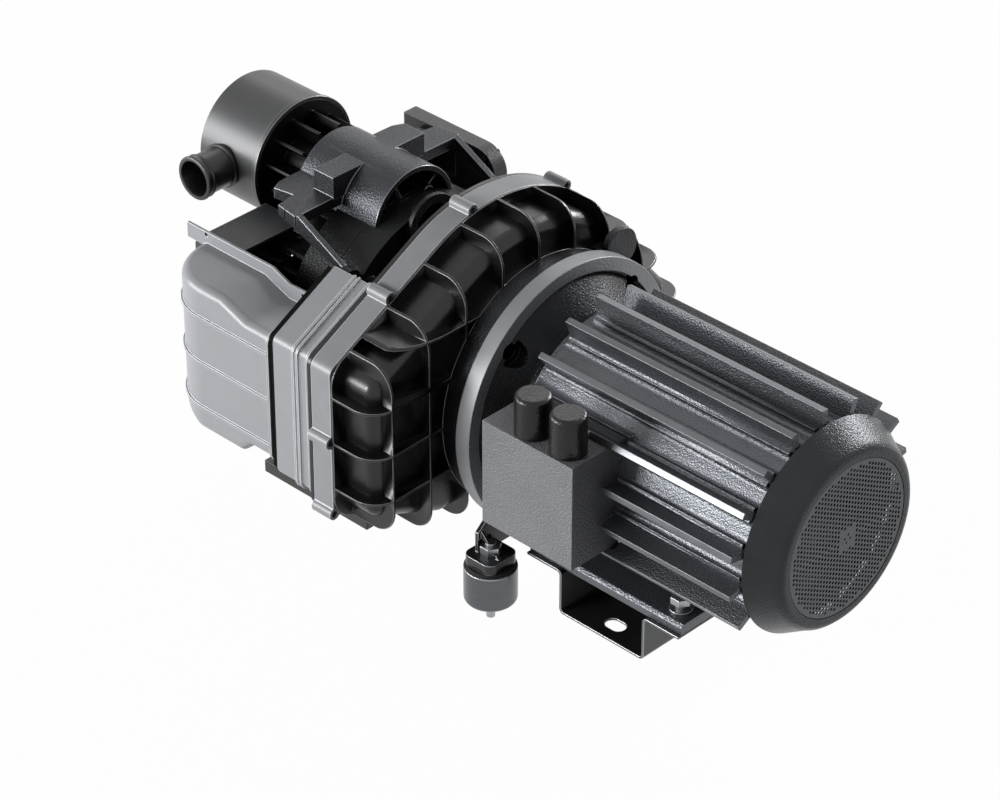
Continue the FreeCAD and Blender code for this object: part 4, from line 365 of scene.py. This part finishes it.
outlines = add(punch, "GeometryNodeJoinGeometry")
for points, ring in ((kept, hole_edge), (four_turned, screw_edge)):
    rings = add(punch, "GeometryNodeInstanceOnPoints", {"Points": points, "Instance": ring})
    real_rings = add(punch, "GeometryNodeRealizeInstances", {0: rings})
    punch.links.new(real_rings.outputs[0], outlines.inputs[0])
punch.links.new(disc_edge.outputs[0], outlines.inputs[0])

# The outlines are filled, raised to the sheet's thickness, closed below and stood upright.
weld = 0.00002
sheet = add(punch, "GeometryNodeFillCurve", {"Curve": outlines})
thickness = {"Mesh": sheet, "Offset Scale": given["Thickness"], "Individual": False}
raised = add(punch, "GeometryNodeExtrudeMesh", thickness)
under = add(punch, "GeometryNodeFlipFaces", {"Mesh": sheet})
closed = add(punch, "GeometryNodeJoinGeometry")
punch.links.new(raised.outputs[0], closed.inputs[0])
punch.links.new(under.outputs[0], closed.inputs[0])
welded = add(punch, "GeometryNodeMergeByDistance", {"Geometry": closed, "Distance": weld})
stand = add(punch, "ShaderNodeCombineXYZ", {0: given["Face"], 2: axis_height})
upright = {"Geometry": welded, "Translation": stand, "Rotation": (math.radians(90), 0, math.radians(90))}
stood = add(punch, "GeometryNodeTransform", upright)
solid = add(punch, "GeometryNodeRealizeInstances", {0: stood})
dressed = add(punch, "GeometryNodeSetMaterial", {"Geometry": solid, "Material": grille_sheet})
add(punch, "NodeGroupOutput", {0: dressed})


def grown(tree, name, **sizes):
    """The plain mesh object that a node tree makes with these sizes."""
    holder = bpy.data.objects.new(name, bpy.data.meshes.new(name))
    bpy.context.scene.collection.objects.link(holder)
    growth = holder.modifiers.new("growth", "NODES")
    growth.node_group = tree
    for item in tree.interface.items_tree:
        if item.item_type == "SOCKET" and item.in_out == "INPUT" and item.name in sizes:
            growth[item.identifier] = sizes[item.name]
    shown = holder.evaluated_get(bpy.context.evaluated_depsgraph_get())
    final = bpy.data.meshes.new_from_object(shown)
    holder.modifiers.clear()
    holder.data = final
    return holder


sheet_setback = 0.0004
low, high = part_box("fan_grille")
grille = grown(punch, "inlet_grille", Face=low.x + sheet_setback)
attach(grille, "housing")
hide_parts("fan_grille")


# Motor fan, shaft, cores and windings: inside the motor, seen only through the grille. Machined
# steel, stacked sheet, enamelled copper and moulded nylon, pressed together as in any motor.
def coated(names, material):
    """Gives CAD pieces as they are one material."""
    for node in names:
        nodes[node].data.materials.clear()
        nodes[node].data.materials.append(material)


# Nylon stays a dull black, ground steel is bright with lines round the shaft, the stacked sheets
# show duller lines, and the enamel lends the copper a warm gloss.
dark_moulding = satin("moulded_nylon", "#0c0c0d", "#141415", 0.42, specular=0.35)
ground_steel = satin("ground_steel", "#9a9b9d", "#b4b5b7", 0.3, 1.0, streak=(30, 1, 1))
stacked_steel = satin("stacked_sheet_steel", "#5a5b5e", "#77787b", 0.45, 1.0, streak=(60, 1, 1))
copper = satin("enamelled_copper", "#8a4520", "#b5622e", 0.35, 0.9)
coated(("motor_fan", "terminal_block", "cooling_fan"), dark_moulding)
coated(("motor_shaft", "crankshaft", "pin_crank_1", "pin_crank_2", "pin_crank_3"), ground_steel)
coated(("drive_end_bearing", "rear_bearing", "main_bearing", "orbit_bearing"), ground_steel)
coated(("rotor_core", "stator_core"), stacked_steel)
coated(("stator_windings",), copper)


# Terminal box: a cast box on the side of the frame, and two closed cable gland caps of black nylon
# screwed into its top. The box's fine paint looks like sand, the nylon caps shine in soft spots.
box_paint = structure_paint("fine_structure_paint", "#606164", "#6e6f72", 0.36, 1.4, 0.85, 0.5)
eased("terminal_box", "cast_terminal_box", "housing", [box_paint], 0.7)
cap_nylon = structure_paint("grained_nylon_cap", "#0b0c0d", "#131415", 0.28, 2.0, 0.34, 0.35)
eased("cable_glands", "gland_caps", "housing", [cap_nylon], 0.8, sharp=40)


# Foot bracket, bolts and nuts: folded steel sheet, powder coated, held under the foot plate by
# four zinc-plated bolts. The coating is a soft black, painted greyer on the end towards the cowl as
# painted light, its cut edges carry a bright line of painted highlight, and zinc is a cold silver.
powder_black = satin("powder_coated_sheet", "#161617", "#212123", 0.3)
bright_edge = satin("sheet_edge_painted_highlight", "#8f9194", "#a6a8ab", 0.35, 0.6)
side_painted_light = satin("sheet_end_painted_light", "#5a5c5e", "#68696c", 0.35)
bracket_finishes = [powder_black, bright_edge, side_painted_light]
bracket = eased("foot_bracket", "folded_foot_bracket", "housing", bracket_finishes,
                0.8, edge=1)
facing_ahead = 0.95
# Faces towards the cowl take the paint with painted light.
refaced(bracket, 2, lambda at, normal: normal.x > facing_ahead)
zinc = satin("zinc_plated_steel", "#8b8d90", "#b3b5b8", 0.32, 1.0)
eased("foot_bolts", "foot_bolt_set", "housing", [zinc], 0.5)
eased("foot_nuts", "foot_nut_set", "housing", [zinc], 0.5)


# Vibration mounts: a rubber block in a turned steel cup under a pressed bracket on each side, held
# by the two lower flange bolts. The cup has lathe lines round it, and its top and edges are painted
# bright as painted highlight. The rubber is a dead black.
turned_cup = satin("turned_steel_cup", "#505255", "#6c6e71", 0.27, 1.0, streak=(1, 1, 40))
rubber = structure_paint("matt_rubber", "#131314", "#1a1a1b", 0.75, 1.2, 0.1)
cup_rim = satin("cup_top_and_edge_painted_highlight", "#a8aaad", "#c0c2c5", 0.3, 0.7)
cup_finishes = [turned_cup, cup_rim]
cups = eased("mount_cups", "turned_mount_cups", "housing", cup_finishes, 0.6, edge=1, sharp=50)
facing_up = 0.8
# Faces that look up take the bright paint of painted highlight.
refaced(cups, 1, lambda at, normal: normal.z > facing_up)
eased("mount_rubbers", "mount_rubber_blocks", "housing", [rubber], 0.8)
eased("mount_studs", "mount_stud_set", "housing", [zinc], 0.4)
eased("mount_nuts", "mount_nut_set", "housing", [zinc], 0.5)
eased("flange_bolts", "flange_bolt_set", "housing", [zinc], 0.5)
# The pressed brackets' edges carry the same bright line of painted highlight.
sheet_finishes = [powder_black, bright_edge]
for side in ("left", "right"):
    eased("mount_bracket_" + side, "pressed_bracket_" + side, "housing",
          sheet_finishes, 0.5, edge=1)


# Motor adapter: a cast aluminium ring between the motor's flange and the shroud, with a lifting
# ear, under black structure paint like the shield's.
eased("motor_adapter", "adapter_ring", "housing", [cast_paint], 0.8)


# Fan shroud: a moulded black cover with tall ribs in a grid, over the cooling fan. A plain satin
# band with screw lugs and a rear wall close it. The black moulding is glossy, so each pocket holds
# one soft shine, and the edges of ribs and band carry thin light lines of painted highlight.
shroud_black = structure_paint("glossy_black_moulding", "#030304", "#070708", 0.29, 1.5, 0.1, 0.48)
rib_edge = satin("rib_edge_painted_highlight", "#5f6164", "#77797c", 0.3, 0.2)
shroud_finishes = [shroud_black, rib_edge]
eased("fan_shroud_front", "ribbed_shroud", "housing", shroud_finishes, 0.55,
      edge=1, sharp=35, inner=False)
band_satin = satin("satin_grey_moulding", "#737578", "#808285", 0.36)
band_edge = satin("band_edge_painted_highlight", "#adafb2", "#bdbfc2", 0.34)
eased("shroud_band", "shroud_band_ring", "housing", [band_satin, band_edge], 0.8, edge=1)
eased("shroud_wall", "shroud_rear_wall", "housing", [shroud_black], 0.5)


# Air ducts: mouldings down both sides and across the back, open towards the scroll. The middle duct
# and the left cover are an even satin grey with painted highlight on their edges and painted shade in
# the open joint between them, the right and the rear ones dark, grained, speckled with light and
# with painted highlight on their edges.
duct_satin = satin("satin_duct_moulding", "#7f8184", "#84868a", 0.32, specular=0.5)
duct_edge = satin("duct_edge_painted_highlight", "#c6c8cb", "#d2d4d7", 0.3)
joint_shade_paint = satin("painted_shade_in_open_joint", "#040404", "#060606", 0.7, specular=0.05)
duct_finishes = [duct_satin, duct_edge, joint_shade_paint]
duct_mid = eased("duct_mid", "middle_duct", "housing", duct_finishes, 0.7, edge=1)
# The joint's front lip is set forward, so that the joint is as wide as it looks on the real duct.
joint_back, joint_lip, joint_front, joint_widening = -0.1845, -0.1810, -0.1785, 0.0022
for corner in duct_mid.data.vertices:
    if joint_lip < corner.co.x < joint_front:
        corner.co.x += joint_widening
# Faces in the joint take the black of painted shade.
refaced(duct_mid, 2, lambda at, normal: joint_back < at.x < joint_front + joint_widening)
eased("duct_cover_left", "left_duct_cover", "housing", [duct_satin, duct_edge], 0.4, edge=1)
dark_duct = structure_paint("grained_dark_moulding", "#242527", "#2f3133", 0.36, 1.4, 0.3, 0.45)
dark_duct_edge = satin("dark_edge_painted_highlight", "#77797c", "#86888b", 0.32)
dark_finishes = [dark_duct, dark_duct_edge]
eased("duct_cover_right", "right_duct_cover", "housing", dark_finishes, 0.7, edge=1)
eased("rear_duct", "rear_air_duct", "housing", dark_finishes, 0.7, edge=1)


# Crankcase, scrolls and cranks: sand-cast aluminium, the scroll wraps milled and left bare, with
# polymer tip seals and bronze bushes. The case's paint is a grained black, milled metal is pale and
# bright, the seals look like bone, and bronze is a dull brown.
case_paint = structure_paint("structure_painted_crankcase", "#18191a", "#222324", 0.33, 1.9, 0.42, 0.3, 0.6)
eased("crankcase", "cast_crankcase", "housing", [case_paint], 0.6)
eased("crankcase_feet", "cast_feet", "housing", [case_paint], 0.6)
eased("fixed_scroll", "finned_fixed_scroll", "housing", [case_paint], 0.6)
bare_aluminium = satin("milled_aluminium", "#a2a4a6", "#bcbec0", 0.3, 1.0)
coated(("orbiting_scroll", "counterweight"), bare_aluminium)
seal_polymer = satin("filled_polymer_seal", "#cfc7b4", "#ded7c6", 0.55)
coated(("tip_seal_orbiting", "tip_seal_fixed"), seal_polymer)
bronze = satin("sintered_bronze", "#6a5a45", "#7d6a50", 0.45, 0.9)
coated(("pin_crank_bushes", "discharge_nipple"), bronze)
coated(("dust_seal",), rubber)


# Intake casting: a painted half pipe of aluminium with a wing plate on each side, bolted over the
# scroll. Its paint glints like the frame's, and its edges carry thin lines of painted highlight.
casting_paint = structure_paint("structure_painted_casting", "#35363a", "#434447", 0.33, 1.6, 0.42, 0.3, 0.8)
casting_edge = satin("casting_edge_painted_highlight", "#606265", "#75777a", 0.27, 0.8)
casting_finishes = [casting_paint, casting_edge]
eased("top_intake_casting", "intake_casting", "housing", casting_finishes,
      0.8, edge=1)


# Intake filter: a drawn steel canister with a moulded ribbed end plate, a paper element inside and
# a hose spigot on the left. The painted canister has one broad soft shine and a rolled edge painted
# light as painted highlight, the plate is a flat black, the spigot a glossy one, and the paper is cream.
canister_paint = satin("satin_painted_canister", "#2d2e30", "#373839", 0.39, 0.4, specular=1.0)
canister_edge = satin("canister_edge_painted_highlight", "#6f7174", "#7d7f82", 0.3, 0.5)
canister_finishes = [canister_paint, canister_edge]
eased("filter_canister", "drawn_filter_canister", "housing", canister_finishes, 0.7, edge=1)
plate_moulding = satin("black_moulded_plate", "#040404", "#070707", 0.36, specular=0.25)
eased("filter_end_plate", "ribbed_end_plate", "housing", [plate_moulding], 0.5)
spigot_black = satin("glossy_spigot_moulding", "#050506", "#0a0a0b", 0.34, specular=0.6)
# The spigot is turned from an outline of places along y and radii in mm: its rolled mouth, a bead,
# the tube, a collar at the root, and the bore back to the mouth.
spigot_outline = [(-93, 17.1), (-93, 20), (-92.3, 20.8), (-91, 21), (-89.8, 20.7), (-89.2, 19.4),
                  (-86.6, 19.2), (-86, 20.2), (-85, 20.6), (-84, 20.2), (-83.5, 19),
                  (-61.4, 19), (-61, 20.8), (-59.4, 20.9), (-59, 19.2),
                  (-48, 19), (-48, 16.5), (-92, 16.5)]
spigot_mesh = bpy.data.meshes.new("spigot")
low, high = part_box("filter_spigot")
across, level = (low.x + high.x) / 2, (low.z + high.z) / 2
turns, steps = 72, len(spigot_outline)
corners = []
for turn in range(turns):
    angle = math.tau * turn / turns
    for y, radius in spigot_outline:
        beside_axis, above_axis = radius * math.cos(angle) / 1000, radius * math.sin(angle) / 1000
        corners.append((across + beside_axis, y / 1000, level + above_axis))
walls = []
for turn in range(turns):
    here, beside = turn * steps, (turn + 1) % turns * steps
    for step in range(steps):
        after = (step + 1) % steps
        walls.append((here + step, here + after, beside + after, beside + step))
spigot_mesh.from_pydata(corners, [], walls)
spigot_mesh.materials.append(spigot_black)
spigot_mesh.shade_smooth()
spigot_mesh.set_sharp_from_angle(angle=math.radians(50))
spigot = bpy.data.objects.new("hose_spigot", spigot_mesh)
bpy.context.scene.collection.objects.link(spigot)
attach(spigot, "housing")
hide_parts("filter_spigot")
pleated_paper = satin("pleated_paper", "#cdbf97", "#dccfa9", 0.8)
coated(("filter_element",), pleated_paper)


# Base rails: two flat steel bars under the crankcase's feet, powder coated in the bracket's soft
# black. They carry the compressor's end of the machine.
eased("base_rails", "flat_base_rails", "housing", [powder_black], 0.8)
